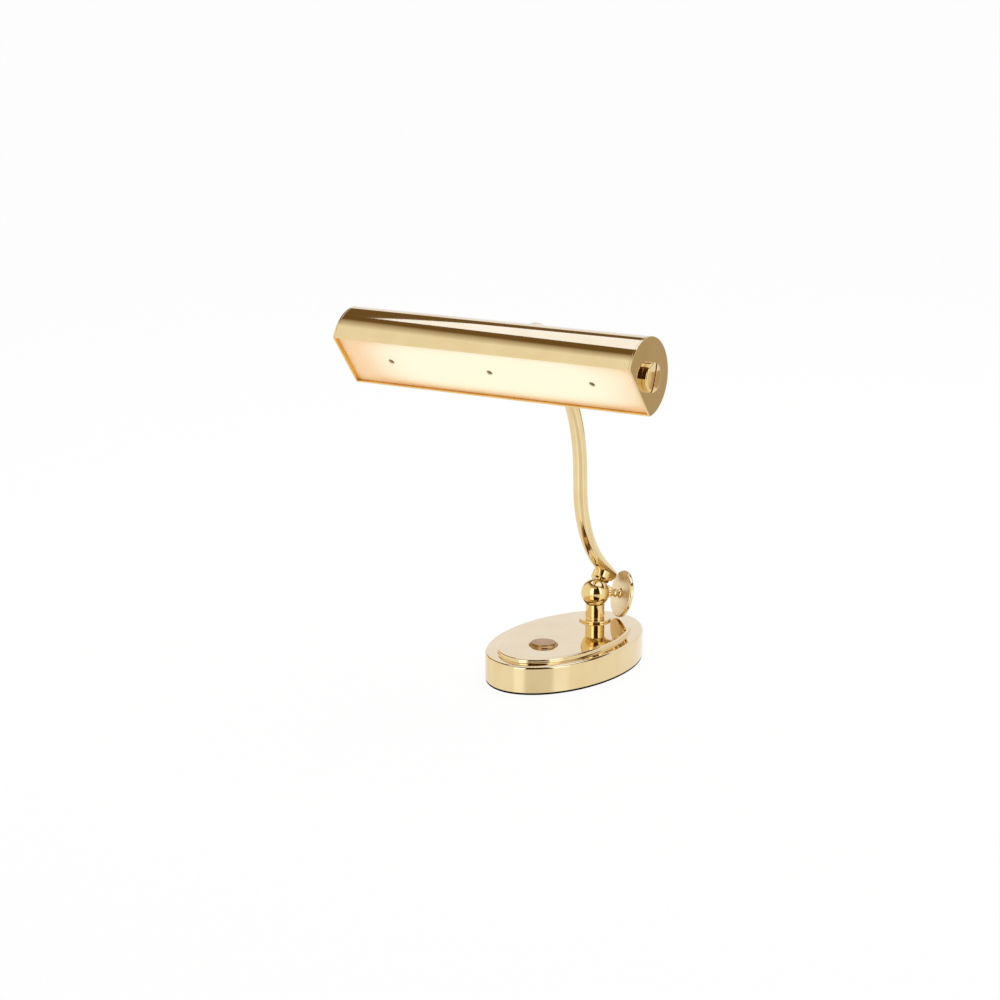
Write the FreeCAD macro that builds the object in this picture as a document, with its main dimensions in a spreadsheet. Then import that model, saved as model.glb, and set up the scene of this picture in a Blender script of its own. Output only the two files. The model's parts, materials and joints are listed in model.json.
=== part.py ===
import FreeCAD, Part
import math
import os

import Sketcher

V = FreeCAD.Vector
Rotation = FreeCAD.Rotation
Placement = FreeCAD.Placement

# Piano lamp. +Z is up, +X runs along the shade and -Y faces the player. The origin is on the
# surface that the lamp stands on, under the middle of its oval base. Millimetres and degrees.

doc = FreeCAD.newDocument("piano_lamp")

# Driving dimensions ---------------------------------------------------------------------------

DIMENSIONS = {
    # oval base
    "base_length": 170.0,
    "base_width": 102.0,
    "pad_thickness": 1.6,
    "pad_inset": 0.4,
    "shell_height": 20.4,
    "shell_wall": 2.0,
    "rim_round": 2.2,
    "step_height": 3.0,
    "step_inset": 9.5,
    "step_round": 1.6,
    "plate_thickness": 2.0,
    "plate_gap": 0.2,
    "weight_height": 9.4,
    "weight_gap": 1.0,
    "boss_diameter": 8.0,
    "boss_inset": 12.3,
    "boss_bearing": 31.5,
    "plate_screw_diameter": 3.8,
    "plate_screw_head": 7.6,
    "plate_screw_length": 9.0,
    # push switch in the top of the base
    "switch_inset": 51.8,
    "button_diameter": 19.2,
    "button_flange": 0.35,
    "button_flange_height": 1.5,
    "button_proud": 0.7,
    "button_gap": 0.1,
    "bezel_diameter": 22.7,
    "bezel_height": 1.5,
    "sleeve_diameter": 21.6,
    "sleeve_length": 8.5,
    "switch_nut_diameter": 26.0,
    "switch_nut_height": 3.0,
    "switch_body_height": 7.5,
    "spring_radius": 5.0,
    "spring_wire": 0.8,
    "spring_turns": 4.0,
    # dimmer board and inlet for the plug-in supply
    "board_length": 40.0,
    "board_width": 26.0,
    "board_thickness": 1.6,
    "board_centre_y": 6.0,
    "spacer_height": 3.0,
    "spacer_diameter": 5.0,
    "capacitor_diameter": 7.0,
    "choke_width": 6.0,
    "part_height": 4.0,
    "inlet_height": 11.0,
    "inlet_diameter": 8.0,
    "inlet_flange": 11.0,
    "inlet_flange_thickness": 1.5,
    "inlet_seat": 0.6,
    "inlet_depth": 14.0,
    "inlet_bore": 5.6,
    "inlet_pin": 2.0,
    "inlet_nut_thickness": 2.5,
    # column on the base
    "column_inset": 37.8,
    "column_diameter": 15.0,
    "column_bore": 6.0,
    "nipple_diameter": 10.0,
    "nipple_length": 9.0,
    "flange_diameter": 25.0,
    "flange_thickness": 1.6,
    "ball_height": 22.3,
    "spigot_diameter": 11.0,
    "spigot_below_ball": 6.0,
    "groove_depth": 0.9,
    "groove_width": 2.2,
    "groove_below_ball": 7.9,
    "nut_width": 17.0,
    "nut_height": 5.0,
    "lock_washer_diameter": 18.0,
    "lock_washer_thickness": 1.2,
    # ball joint
    "ball_diameter": 22.5,
    "ball_gap": 0.3,
    "bearing_gap": 0.05,
    "stud_ball_diameter": 11.0,
    "stud_neck_diameter": 5.0,
    "stud_bore": 2.8,
    "stud_lean": 39.0,
    "neck_side_gap": 0.2,
    "tilt_forward": 30.0,
    "tilt_back": 2.0,
    "seat_height": 2.45,
    "seat_top_below_ball": 2.6,
    "disc_spring_thickness": 0.45,
    "swivel_screw_diameter": 2.0,
    "collar_diameter": 15.0,
    "collar_gap": 0.35,
    "collar_height": 6.4,
    # arm, from the ball joint to the shade
    "arm_reach": 22.1,
    "arm_diameter": 11.0,
    "arm_wall": 1.0,
    "tail_length": 13.2,
    "tail_dome": 2.0,
    "plug_depth": 4.0,
    "lower_straight": 6.0,
    "lower_bend_radius": 93.0,
    "lower_bend_angle": 49.5,
    "middle_straight": 14.0,
    "middle_bend_radius": 125.0,
    "middle_bend_angle": 33.5,
    "upper_straight": 48.3,
    "upper_bend_radius": 27.1,
    "upper_bend_angle": 72.3,
    "top_straight": 45.1,
    "lead_diameter": 2.4,
    "lead_gap": 0.3,
    "lead_start": 5.0,
    # clamp knob
    "knob_bearing": 39.0,
    "knob_droop": 12.5,
    "knob_lift": 2.0,
    "thread_diameter": 4.9,
    "point_diameter": 3.0,
    "point_length": 2.6,
    "ring_diameter": 10.0,
    "ring_thickness": 3.0,
    "hub_diameter": 7.2,
    "hub_length": 2.9,
    "bead_diameter": 6.8,
    "knob_neck_diameter": 5.2,
    "flare_diameter": 9.2,
    "disc_diameter": 37.4,
    "disc_thickness": 3.5,
    "disc_reach": 21.2,
    "disc_round": 1.2,
    "rivet_height": 1.2,
    # shade
    "shade_length": 250.0,
    "shade_diameter": 57.6,
    "sheet_thickness": 1.0,
    "cap_thickness": 1.5,
    "opening_angle": 113.6,
    "opening_dip": 38.2,
    "turn_up": 25.0,
    "turn_down": 40.0,
    "slot_side_gap": 0.4,
    "rod_diameter": 9.0,
    "rod_bore": 6.0,
    "hub_barrel_diameter": 13.0,
    "hub_barrel_length": 24.0,
    "hub_neck_length": 9.0,
    "hub_spigot_length": 6.0,
    "hub_bore": 3.6,
    "hub_screw_diameter": 3.0,
    "hub_screw_spacing": 18.0,
    "washer_diameter": 13.0,
    "washer_thickness": 1.0,
    "end_head_diameter": 21.4,
    "end_head_height": 4.8,
    "end_head_round": 1.2,
    "end_head_dome": 0.5,
    "end_slot_width": 1.8,
    "end_slot_depth": 2.0,
    "end_slot_lean": 20.0,
    "end_shank_length": 14.0,
    # light inside the shade
    "tray_offset": 6.9,
    "tray_thickness": 1.0,
    "tray_lip": 1.4,
    "tray_lip_inset": 2.6,
    "strip_width": 42.0,
    "strip_thickness": 1.0,
    "chip_size": 2.8,
    "chip_thickness": 0.6,
    "chip_rows_spacing": 24.0,
    "chip_pitch": 12.0,
    "panel_thickness": 2.0,
    "panel_recess": 3.4,
    "edge_gap": 0.15,
    "panel_screw_pitch": 85.0,
    "panel_screw_diameter": 2.5,
    "panel_screw_head": 4.6,
    "panel_screw_sink": 1.2,
}

sheet = doc.addObject("Spreadsheet::Sheet", "Sizes")
for row, (alias, number) in enumerate(DIMENSIONS.items(), start=1):
    sheet.set("A%d" % row, alias.replace("_", " "))
    sheet.set("B%d" % row, str(number))
    sheet.setAlias("B%d" % row, alias)
doc.recompute()


class Dim:
    """A dimension: its value now, and the formula on the sheet that an object is bound to."""

    def __init__(self, value, formula=None):
        self.value = float(value)
        self.formula = formula or repr(self.value)

    def __float__(self):
        return self.value

    def __add__(self, other):
        other = dim(other)
        return Dim(self.value + other.value, "(%s + %s)" % (self.formula, other.formula))

    def __sub__(self, other):
        other = dim(other)
        return Dim(self.value - other.value, "(%s - %s)" % (self.formula, other.formula))

    def __mul__(self, other):
        other = dim(other)
        return Dim(self.value * other.value, "(%s * %s)" % (self.formula, other.formula))

    def __truediv__(self, other):
        other = dim(other)
        return Dim(self.value / other.value, "(%s / %s)" % (self.formula, other.formula))

    def __neg__(self):
        return Dim(-self.value, "(0 - %s)" % self.formula)


def dim(number):
    return number if isinstance(number, Dim) else Dim(number)


def root(square):
    return Dim(math.sqrt(square.value), "sqrt(%s)" % square.formula)


class Sizes:
    """Every alias on the sheet as a Dim, such as size.base_length."""

    def __getattr__(self, alias):
        return Dim(sheet.get(alias), "Sizes." + alias)


size = Sizes()


# Ways of making a piece -----------------------------------------------------------------------

nodes = []


def node(name, item):
    """Names a finished piece, which is written out under this name."""
    item.Label = name
    nodes.append(item)
    return item


def bind(item, **sizes):
    for prop, value in sizes.items():
        item.setExpression(prop, dim(value).formula)
    return item


def part(kind, name, placement=None, **sizes):
    item = bind(doc.addObject("Part::" + kind, name), **sizes)
    if placement:
        item.Placement = placement
    return item


def cylinder(name, radius, height, placement=None, **more):
    return part("Cylinder", name, placement, Radius=radius, Height=height, **more)


def box(name, corner, length, width, height, placement=None):
    """A box from its own corner (x, y, z), in the frame that placement gives."""
    corner = V(*[float(c) for c in corner])
    placement = placement or Placement()
    return part("Box", name, placement * Placement(corner, Rotation()), Length=length, Width=width, Height=height)


def fuse(name, *items):
    item = doc.addObject("Part::MultiFuse", name)
    item.Shapes = list(items)
    return item


def cut(name, base, *tools):
    item = doc.addObject("Part::Cut", name)
    item.Base = base
    item.Tool = tools[0] if len(tools) == 1 else fuse(name + "_tools", *tools)
    return item


def common(name, base, tool):
    item = doc.addObject("Part::Common", name)
    item.Base = base
    item.Tool = tool
    return item


def rounded(name, base, radius, picks):
    """Rounds those edges of base that picks(edge) chooses."""
    doc.recompute()
    item = doc.addObject("Part::Fillet", name)
    item.Base = base
    item.Edges = [(i, float(radius), float(radius)) for i, e in enumerate(base.Shape.Edges, 1) if picks(e)]
    return item


def flat_at(height):
    """Chooses the edges that lie level at this height."""
    level = float(height)
    return lambda e: abs(e.BoundBox.ZMin - level) < 0.01 and abs(e.BoundBox.ZMax - level) < 0.01


def oval(name, inset, low, height):
    """An upright oval prism, inset from the base's outline."""
    curve = part("Ellipse", name + "_outline", MajorRadius=size.base_length / 2 - inset,
                 MinorRadius=size.base_width / 2 - inset)
    curve.Placement = Placement(V(0, 0, float(low)), Rotation(V(0, 0, 1), 90))
    prism = doc.addObject("Part::Extrusion", name)
    prism.Base = curve
    prism.DirMode = "Custom"
    prism.Dir = V(0, 0, 1)
    prism.Solid = True
    bind(prism, LengthFwd=height)
    return prism


def turned(name, outline, placement=None):
    """A lathe-turned body: outline is the closed run of its (radius, height) corners, none below 0."""
    body = doc.addObject("PartDesign::Body", name)
    plane = [f for f in body.Origin.OriginFeatures if f.Role == "XZ_Plane"][0]
    sketch = body.newObject("Sketcher::SketchObject", name + "_profile")
    sketch.AttachmentSupport = [(plane, "")]
    sketch.MapMode = "FlatFace"
    corners = [(dim(r), dim(z)) for r, z in outline]
    count = len(corners)
    for (r0, z0), (r1, z1) in zip(corners, corners[1:] + corners[:1]):
        sketch.addGeometry(Part.LineSegment(V(r0.value, z0.value, 0), V(r1.value, z1.value, 0)), False)
    for i in range(count):
        sketch.addConstraint(Sketcher.Constraint("Coincident", i, 2, (i + 1) % count, 1))
    for i, (r, z) in enumerate(corners):
        for axis, direction, value in ((-2, "DistanceX", r), (-1, "DistanceY", z)):
            if value.value == 0:
                sketch.addConstraint(Sketcher.Constraint("PointOnObject", i, 1, axis))
            else:
                at = sketch.addConstraint(Sketcher.Constraint(direction, -1, 1, i, 1, value.value))
                sketch.setExpression("Constraints[%d]" % at, value.formula)
    doc.recompute()
    solid = body.newObject("PartDesign::Revolution", name + "_turned")
    solid.Profile = sketch
    solid.ReferenceAxis = (sketch, ["V_Axis"])
    solid.Angle = 360
    sketch.Visibility = False
    if placement:
        body.Placement = placement
    return body


def shaped(name, shape):
    """A piece that follows the bent arm, or repeats a small piece, and so has a shape worked out here."""
    item = doc.addObject("Part::Feature", name)
    item.Shape = shape
    return item


def repeated(name, pattern, places):
    doc.recompute()
    copies = []
    for place in places:
        copy = pattern.Shape.copy()
        copy.Placement = place * copy.Placement
        copies.append(copy)
    return shaped(name, Part.makeCompound(copies))


def at(x, y, z, rotation=None):
    return Placement(V(float(x), float(y), float(z)), rotation or Rotation())


UP = V(0, 0, 1)
ALONG_X = Rotation(V(1, 1, 1), 120)  # turns X to Y, Y to Z and Z to X


def leaning(angle):
    """Turns +Z down towards +Y by this angle."""
    return Rotation(V(1, 0, 0), -float(angle))


def about_x(centre, start, x):
    """Places a cylinder along +X whose own angle 0 lies at this angle from +Y towards +Z."""
    return Placement(centre + V(float(x), 0, 0), Rotation(V(1, 0, 0), float(start)) * ALONG_X)


# Levels of the base ---------------------------------------------------------------------------

shell_foot = size.pad_thickness
ledge_level = shell_foot + size.shell_height
deck_level = ledge_level + size.step_height
ceiling_level = deck_level - size.shell_wall
weight_foot = shell_foot + size.plate_thickness
weight_top = weight_foot + size.weight_height

# Felt pad, glued under the base plate
node("felt_pad", oval("felt_pad", size.pad_inset, 0, size.pad_thickness))

# Base shell: a spun brass oval with a raised deck, and four tapped bosses inside
rim_block = rounded("rim_block", oval("shell_block", 0, shell_foot, size.shell_height),
                    size.rim_round, flat_at(ledge_level))
deck_block = rounded("deck_block", oval("deck_prism", size.step_inset, ledge_level - size.shell_wall,
                                        size.step_height + size.shell_wall), size.step_round, flat_at(deck_level))
lower_hollow = oval("lower_hollow", size.shell_wall, shell_foot, size.shell_height - size.shell_wall)
deck_hollow = oval("deck_hollow", size.step_inset + size.shell_wall, shell_foot,
                   size.shell_height + size.step_height - size.shell_wall)
boss_turn = math.radians(float(size.boss_bearing))
boss_x = float(size.base_width / 2 - size.boss_inset) * math.cos(boss_turn)
boss_y = float(size.base_length / 2 - size.boss_inset) * math.sin(boss_turn)
boss_corners = [(sx * boss_x, sy * boss_y) for sx in (-1, 1) for sy in (-1, 1)]
shell_parts = [cut("hollow_shell", fuse("shell_outside", rim_block, deck_block), lower_hollow, deck_hollow)]
shell_holes = []
for i, (x, y) in enumerate(boss_corners):
    shell_parts.append(cylinder("boss_%d" % i, size.boss_diameter / 2,
                                ledge_level - weight_foot - size.shell_wall / 2, at(x, y, weight_foot)))
    shell_holes.append(cylinder("boss_hole_%d" % i, size.plate_screw_diameter / 2 + size.bearing_gap,
                                size.plate_screw_length, at(x, y, shell_foot)))
switch_y = size.switch_inset - size.base_length / 2
column_y = size.base_length / 2 - size.column_inset
shell_holes.append(cylinder("nipple_hole", size.nipple_diameter / 2 + size.bearing_gap, size.shell_wall * 3,
                            at(0, column_y, ceiling_level - size.shell_wall)))
shell_holes.append(cylinder("sleeve_hole", size.sleeve_diameter / 2 + size.bearing_gap, size.shell_wall * 3,
                            at(0, switch_y, ceiling_level - size.shell_wall)))
# The inlet passes the rear wall between two flat spots that are as far apart as the wall is thick
to_rear = Rotation(V(1, 0, 0), -90)
spot_outside = size.base_length / 2 - size.inlet_seat
spot_inside = spot_outside - size.shell_wall
shell_holes.append(cylinder("inlet_hole", size.inlet_diameter / 2 + size.bearing_gap, size.shell_wall * 3,
                            at(0, spot_inside - size.shell_wall, size.inlet_height, to_rear)))
shell_holes.append(cylinder("inlet_spot_outside", size.inlet_flange / 2 + size.edge_gap, size.shell_wall,
                            at(0, spot_outside, size.inlet_height, to_rear)))
shell_holes.append(cylinder("inlet_spot_inside", size.inlet_flange / 2 + size.edge_gap, size.shell_wall * 2,
                            at(0, spot_inside - size.shell_wall * 2, size.inlet_height, to_rear)))
node("base_shell", cut("base_shell", fuse("shell_with_bosses", *shell_parts), *shell_holes))

# Base plate: sheet steel, let into the shell's open underside, with countersunk screw holes
sink_depth = size.plate_screw_head / 2 - size.plate_screw_diameter / 2
sinks = [part("Cone", "plate_sink_%d" % i, at(x, y, shell_foot), Radius1=size.plate_screw_head / 2,
              Radius2=size.plate_screw_diameter / 2, Height=sink_depth) for i, (x, y) in enumerate(boss_corners)]
sinks += [cylinder("plate_hole_%d" % i, size.plate_screw_diameter / 2, size.plate_thickness, at(x, y, shell_foot))
          for i, (x, y) in enumerate(boss_corners)]
node("base_plate", cut("base_plate", oval("plate_blank", size.shell_wall + size.plate_gap, shell_foot,
                                          size.plate_thickness), *sinks))

# Plate screws: countersunk, up through the plate into the bosses
screw_pattern = turned("plate_screw_pattern", [
    (0, 0), (size.plate_screw_head / 2, 0), (size.plate_screw_diameter / 2, sink_depth),
    (size.plate_screw_diameter / 2, size.plate_screw_length), (0, size.plate_screw_length)])
node("base_plate_screws", repeated("base_plate_screws", screw_pattern,
                                   [at(x, y, shell_foot) for x, y in boss_corners]))

# Ballast: a cast iron oval on the plate, open round the bosses, the switch, the column nut and the inlet
pockets = [cylinder("weight_boss_gap_%d" % i, size.boss_diameter / 2 + size.weight_gap / 2, size.weight_height,
                    at(x, y, weight_foot)) for i, (x, y) in enumerate(boss_corners)]
pockets.append(cylinder("weight_switch_gap", size.switch_nut_diameter / 2 + size.weight_gap, size.weight_height,
                        at(0, switch_y, weight_foot)))
pocket_width = size.lock_washer_diameter + size.weight_gap * 4
pocket_front = column_y - pocket_width / 2
pockets.append(box("weight_rear_gap", (-pocket_width / 2, pocket_front, weight_foot),
                   pocket_width, size.base_length / 2 - pocket_front, size.weight_height))
node("base_weight", cut("base_weight", oval("weight_blank", size.shell_wall + size.weight_gap, weight_foot,
                                            size.weight_height), *pockets))

# Push switch ----------------------------------------------------------------------------------

# Bezel: a brass ring on the deck with a threaded sleeve below it, which guides the button
sleeve_foot = deck_level - size.sleeve_length
button_r = size.button_diameter / 2
flange_r = button_r + size.button_flange
shoulder = size.sleeve_length - size.shell_wall
node("switch_bezel", turned("switch_bezel", [
    (flange_r + size.button_gap, 0),
    (size.sleeve_diameter / 2, 0),
    (size.sleeve_diameter / 2, size.sleeve_length),
    (size.bezel_diameter / 2, size.sleeve_length),
    (size.bezel_diameter / 2, size.sleeve_length + size.bezel_height * 0.35),
    (size.bezel_diameter / 2 - size.bezel_height * 0.8, size.sleeve_length + size.bezel_height),
    (button_r + size.button_gap, size.sleeve_length + size.bezel_height),
    (button_r + size.button_gap, shoulder),
    (flange_r + size.button_gap, shoulder)], at(0, switch_y, sleeve_foot)))

# Round nut that pulls the bezel down from below
node("switch_nut", turned("switch_nut", [
    (size.sleeve_diameter / 2 + size.bearing_gap, 0),
    (size.switch_nut_diameter / 2, 0),
    (size.switch_nut_diameter / 2, size.switch_nut_height),
    (size.sleeve_diameter / 2 + size.bearing_gap, size.switch_nut_height)],
    at(0, switch_y, ceiling_level - size.switch_nut_height)))

# Switch body: the contacts' plastic case, closing the sleeve from below
node("switch_body", turned("switch_body", [
    (0, 0),
    (size.sleeve_diameter / 2 - size.button_flange_height, 0),
    (size.sleeve_diameter / 2, size.button_flange_height),
    (size.sleeve_diameter / 2, size.switch_body_height),
    (0, size.switch_body_height)], at(0, switch_y, sleeve_foot - size.switch_body_height)))

# Button: a flanged cap, stopped under the sleeve's shoulder
button_foot = sleeve_foot + shoulder - size.button_flange_height - size.bearing_gap
button_top = size.button_flange_height + size.bearing_gap + size.shell_wall + size.bezel_height + size.button_proud
node("switch_button", turned("switch_button", [
    (0, 0), (flange_r, 0), (flange_r, size.button_flange_height), (button_r, size.button_flange_height),
    (button_r, button_top - size.button_flange), (button_r - size.button_flange, button_top), (0, button_top)],
    at(0, switch_y, button_foot)))

# Return spring under the button, from the switch body to the button's underside
spring_height = float(button_foot - sleeve_foot - size.spring_wire)
spring_r = float(size.spring_radius)
points_a_turn = 12
spring_steps = int(points_a_turn * float(size.spring_turns))
coil = Part.BSplineCurve()
coil.interpolate([V(spring_r * math.cos(2 * math.pi * i / points_a_turn),
                    spring_r * math.sin(2 * math.pi * i / points_a_turn), spring_height * i / spring_steps)
                  for i in range(spring_steps + 1)])
coil_section = Part.Wire([Part.makeCircle(float(size.spring_wire) / 2, V(spring_r, 0, 0),
                                          coil.tangent(coil.FirstParameter)[0])])
spring = shaped("button_spring", Part.Wire([coil.toShape()]).makePipeShell([coil_section], True, False))
spring.Placement = at(0, switch_y, sleeve_foot + size.spring_wire / 2)
node("button_spring", spring)

# Dimmer board, spacers and inlet --------------------------------------------------------------

board_foot = weight_top + size.spacer_height
spacer_places = [(sx * (float(size.board_width) / 2 - float(size.spacer_diameter)),
                  float(size.board_centre_y) + sy * (float(size.board_length) / 2 - float(size.spacer_diameter)))
                 for sx in (-1, 1) for sy in (-1, 1)]
spacer_pattern = cylinder("spacer_pattern", size.spacer_diameter / 2, size.spacer_height)
node("board_spacers", repeated("board_spacers", spacer_pattern, [at(x, y, weight_top) for x, y in spacer_places]))
board_front = size.board_centre_y - size.board_length / 2
node("dimmer_board", box("dimmer_board", (-size.board_width / 2, board_front, board_foot),
                         size.board_width, size.board_length, size.board_thickness))
parts_level = board_foot + size.board_thickness
capacitor = cylinder("capacitor", size.capacitor_diameter / 2, size.board_length / 4,
                     at(-size.board_width / 4, board_front + size.board_length / 8,
                        parts_level + size.capacitor_diameter / 2, to_rear))
capacitor_level = common("capacitor_laid", capacitor, box(
    "capacitor_room", (-size.board_width / 2, board_front, parts_level),
    size.board_width, size.board_length, ceiling_level - parts_level - size.plate_gap))
choke = box("choke", (size.choke_width / 3, board_front + size.board_length / 8, parts_level),
            size.choke_width, size.choke_width, size.part_height - size.plate_gap)
chip = box("dimmer_chip", (-size.choke_width / 2, size.board_centre_y + size.choke_width / 2, parts_level),
           size.choke_width, size.choke_width, size.board_thickness)
node("dimmer_parts", fuse("dimmer_parts", capacitor_level, choke, chip))

# Inlet: a panel jack with a centre pin, its flange on the rear wall
inlet_place = at(0, spot_inside - size.inlet_depth + size.shell_wall, size.inlet_height, to_rear)
jack = turned("jack", [
    (0, 0), (size.inlet_diameter / 2, 0), (size.inlet_diameter / 2, size.inlet_depth),
    (size.inlet_flange / 2, size.inlet_depth),
    (size.inlet_flange / 2, size.inlet_depth + size.inlet_flange_thickness),
    (size.inlet_bore / 2, size.inlet_depth + size.inlet_flange_thickness),
    (size.inlet_bore / 2, size.inlet_depth / 3), (size.inlet_pin / 2, size.inlet_depth / 3),
    (size.inlet_pin / 2, size.inlet_depth), (0, size.inlet_depth)], inlet_place)
node("dc_inlet", jack)
node("inlet_nut", turned("inlet_nut", [
    (size.inlet_diameter / 2 + size.bearing_gap, 0), (size.inlet_flange / 2, 0),
    (size.inlet_flange / 2, size.inlet_nut_thickness),
    (size.inlet_diameter / 2 + size.bearing_gap, size.inlet_nut_thickness)],
    at(0, spot_inside - size.inlet_nut_thickness, size.inlet_height, to_rear)))

# Column ---------------------------------------------------------------------------------------

ball = V(0, float(column_y), float(deck_level + size.ball_height))
ball_r = size.ball_diameter / 2
spigot_r = size.spigot_diameter / 2
ball_up = size.nipple_length + size.ball_height  # the ball's centre above the nipple's lower end


def sphere_drop(radius, at_radius):
    """How far under its centre a sphere is met at this distance from the upright axis."""
    return root(radius * radius - at_radius * at_radius)


# Flange: a flat ring between the column and the deck
node("foot_flange", turned("foot_flange", [
    (size.nipple_diameter / 2 + size.bearing_gap, 0), (size.flange_diameter / 2, 0),
    (size.flange_diameter / 2, size.flange_thickness / 2),
    (size.flange_diameter / 2 - size.flange_thickness / 4, size.flange_thickness),
    (size.nipple_diameter / 2 + size.bearing_gap, size.flange_thickness)], at(0, column_y, deck_level)))

# Column: a turned post with a threaded nipple below, a cup for the ball and a grooved spigot above
cup_r = ball_r + size.ball_gap
groove_top = ball_up - size.groove_below_ball + size.groove_width / 2
groove_foot = ball_up - size.groove_below_ball - size.groove_width / 2
node("column", turned("column", [
    (size.column_bore / 2, 0),
    (size.nipple_diameter / 2, 0),
    (size.nipple_diameter / 2, size.nipple_length + size.flange_thickness),
    (size.column_diameter / 2, size.nipple_length + size.flange_thickness),
    (size.column_diameter / 2, ball_up - sphere_drop(cup_r, size.column_diameter / 2)),
    (spigot_r, ball_up - sphere_drop(cup_r, spigot_r)),
    (spigot_r, groove_foot),
    (spigot_r - size.groove_depth, groove_foot),
    (spigot_r - size.groove_depth, groove_top),
    (spigot_r, groove_top),
    (spigot_r, ball_up - size.spigot_below_ball),
    (size.column_bore / 2, ball_up - size.spigot_below_ball)],
    at(0, column_y, deck_level - size.nipple_length)))

# Lock washer and hexagon nut on the nipple, under the deck
node("lock_washer", turned("lock_washer", [
    (size.nipple_diameter / 2 + size.bearing_gap, 0), (size.lock_washer_diameter / 2, 0),
    (size.lock_washer_diameter / 2, size.lock_washer_thickness),
    (size.nipple_diameter / 2 + size.bearing_gap, size.lock_washer_thickness)],
    at(0, column_y, ceiling_level - size.lock_washer_thickness)))
nut_foot = ceiling_level - size.lock_washer_thickness - size.nut_height
hexagon = part("Prism", "nut_hexagon", at(0, column_y, nut_foot),
               Circumradius=size.nut_width / math.sqrt(3), Height=size.nut_height)
hexagon.Polygon = 6
node("column_nut", cut("column_nut", hexagon, cylinder(
    "nut_bore", size.nipple_diameter / 2 + size.bearing_gap, size.nut_height, at(0, column_y, nut_foot))))

# Ball joint -----------------------------------------------------------------------------------

stud_frame = Placement(ball, leaning(size.stud_lean))
bearing = math.radians(float(size.knob_bearing))
droop = math.radians(float(size.knob_droop))
knob_axis = V(math.sin(bearing) * math.cos(droop), math.cos(bearing) * math.cos(droop), -math.sin(droop))
knob_side = (UP - knob_axis * knob_axis.z).normalize()  # square to the knob's axis, upwards
knob_frame = Placement(ball + knob_side * float(size.knob_lift), Rotation(UP, knob_axis))
pocket_r = size.stud_ball_diameter / 2 + size.bearing_gap
bore_r = spigot_r + size.bearing_gap
neck_slot_r = size.stud_neck_diameter / 2 + size.neck_side_gap
ring_far_edge = size.ring_diameter / 2 + size.knob_lift
ring_foot = root(ball_r * ball_r - ring_far_edge * ring_far_edge)

# Ball housing: bored from below for the spigot, with a pocket for the stud's ball, a slot in which
# the stud's neck tilts, a tapped side hole with a flat for the clamp screw, and a screw hole at the spigot
slot_low = 90 - float(size.stud_lean + size.tilt_back)
slot_high = 90 - float(size.stud_lean - size.tilt_forward)
slot_wedge = cylinder("neck_slot_wedge", ball_r * 1.2, neck_slot_r * 2, about_x(ball, slot_low, -neck_slot_r),
                      Angle=size.tilt_forward + size.tilt_back)
slot_ends = [cylinder("neck_slot_end_%d" % i, neck_slot_r, ball_r * 1.2, Placement(ball, leaning(90 - end)))
             for i, end in enumerate((slot_low, slot_high))]
screw_drop = size.groove_below_ball
swivel_screw_place = Placement(ball - V(0, 0, float(screw_drop)), Rotation(UP, V(-1, 0, 0)))
node("ball_housing", cut(
    "ball_housing", part("Sphere", "housing_ball", Placement(ball, Rotation()), Radius=ball_r),
    part("Sphere", "stud_pocket", Placement(ball, Rotation()), Radius=pocket_r),
    cylinder("spigot_bore", bore_r, ball_r * 1.1, Placement(ball - V(0, 0, float(ball_r) * 1.1), Rotation())),
    slot_wedge, *slot_ends,
    cylinder("clamp_hole", size.thread_diameter / 2 + size.bearing_gap, ball_r * 1.2, knob_frame),
    cylinder("clamp_flat", size.ring_diameter / 2 + size.edge_gap, ball_r, knob_frame * at(0, 0, ring_foot)),
    cylinder("swivel_screw_hole", size.swivel_screw_diameter / 2, ball_r * 1.2, swivel_screw_place)))

# Swivel screw: a headless screw whose point runs in the spigot's groove
swivel_screw_start = spigot_r - size.groove_depth + size.edge_gap
node("swivel_screw", cylinder(
    "swivel_screw", size.swivel_screw_diameter / 2,
    sphere_drop(ball_r, screw_drop + size.swivel_screw_diameter / 2) - swivel_screw_start,
    swivel_screw_place * at(0, 0, swivel_screw_start)))

# Friction seat: a nylon ring that the stud's ball turns in, pushed up by a dished spring washer
seat_foot = size.seat_top_below_ball + size.seat_height
node("friction_seat", cut(
    "friction_seat", cylinder("seat_blank", spigot_r, size.seat_height,
                              Placement(ball - V(0, 0, float(seat_foot)), Rotation())),
    part("Sphere", "seat_dish", Placement(ball, Rotation()), Radius=pocket_r)))
spring_room = size.spigot_below_ball - size.bearing_gap - seat_foot
dish_inner = sphere_drop(pocket_r, seat_foot) + size.edge_gap
node("seat_spring", turned("seat_spring", [
    (dish_inner, spring_room - size.disc_spring_thickness),
    (spigot_r - size.bearing_gap, 0), (spigot_r - size.bearing_gap, size.disc_spring_thickness),
    (dish_inner, spring_room)],
    Placement(ball - V(0, 0, float(size.spigot_below_ball - size.bearing_gap)), Rotation())))

# Ball stud: the arm's own small ball on a hollow neck that is screwed through the collar
tube_r = size.arm_diameter / 2
tube_bore_r = tube_r - size.arm_wall
neck_length = size.arm_reach - tube_bore_r + size.lead_gap
node("ball_stud", cut(
    "ball_stud",
    fuse("stud_blank", part("Sphere", "stud_ball", stud_frame, Radius=size.stud_ball_diameter / 2),
         cylinder("stud_neck", size.stud_neck_diameter / 2, neck_length, stud_frame)),
    cylinder("stud_bore", size.stud_bore / 2, neck_length + size.stud_ball_diameter,
             stud_frame * at(0, 0, -size.stud_ball_diameter / 2)),
    part("Cone", "stud_flare", stud_frame * at(0, 0, -size.stud_ball_diameter / 2),
         Radius1=size.stud_ball_diameter / 3, Radius2=size.stud_bore / 2, Height=size.stud_ball_diameter / 3)))

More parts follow.
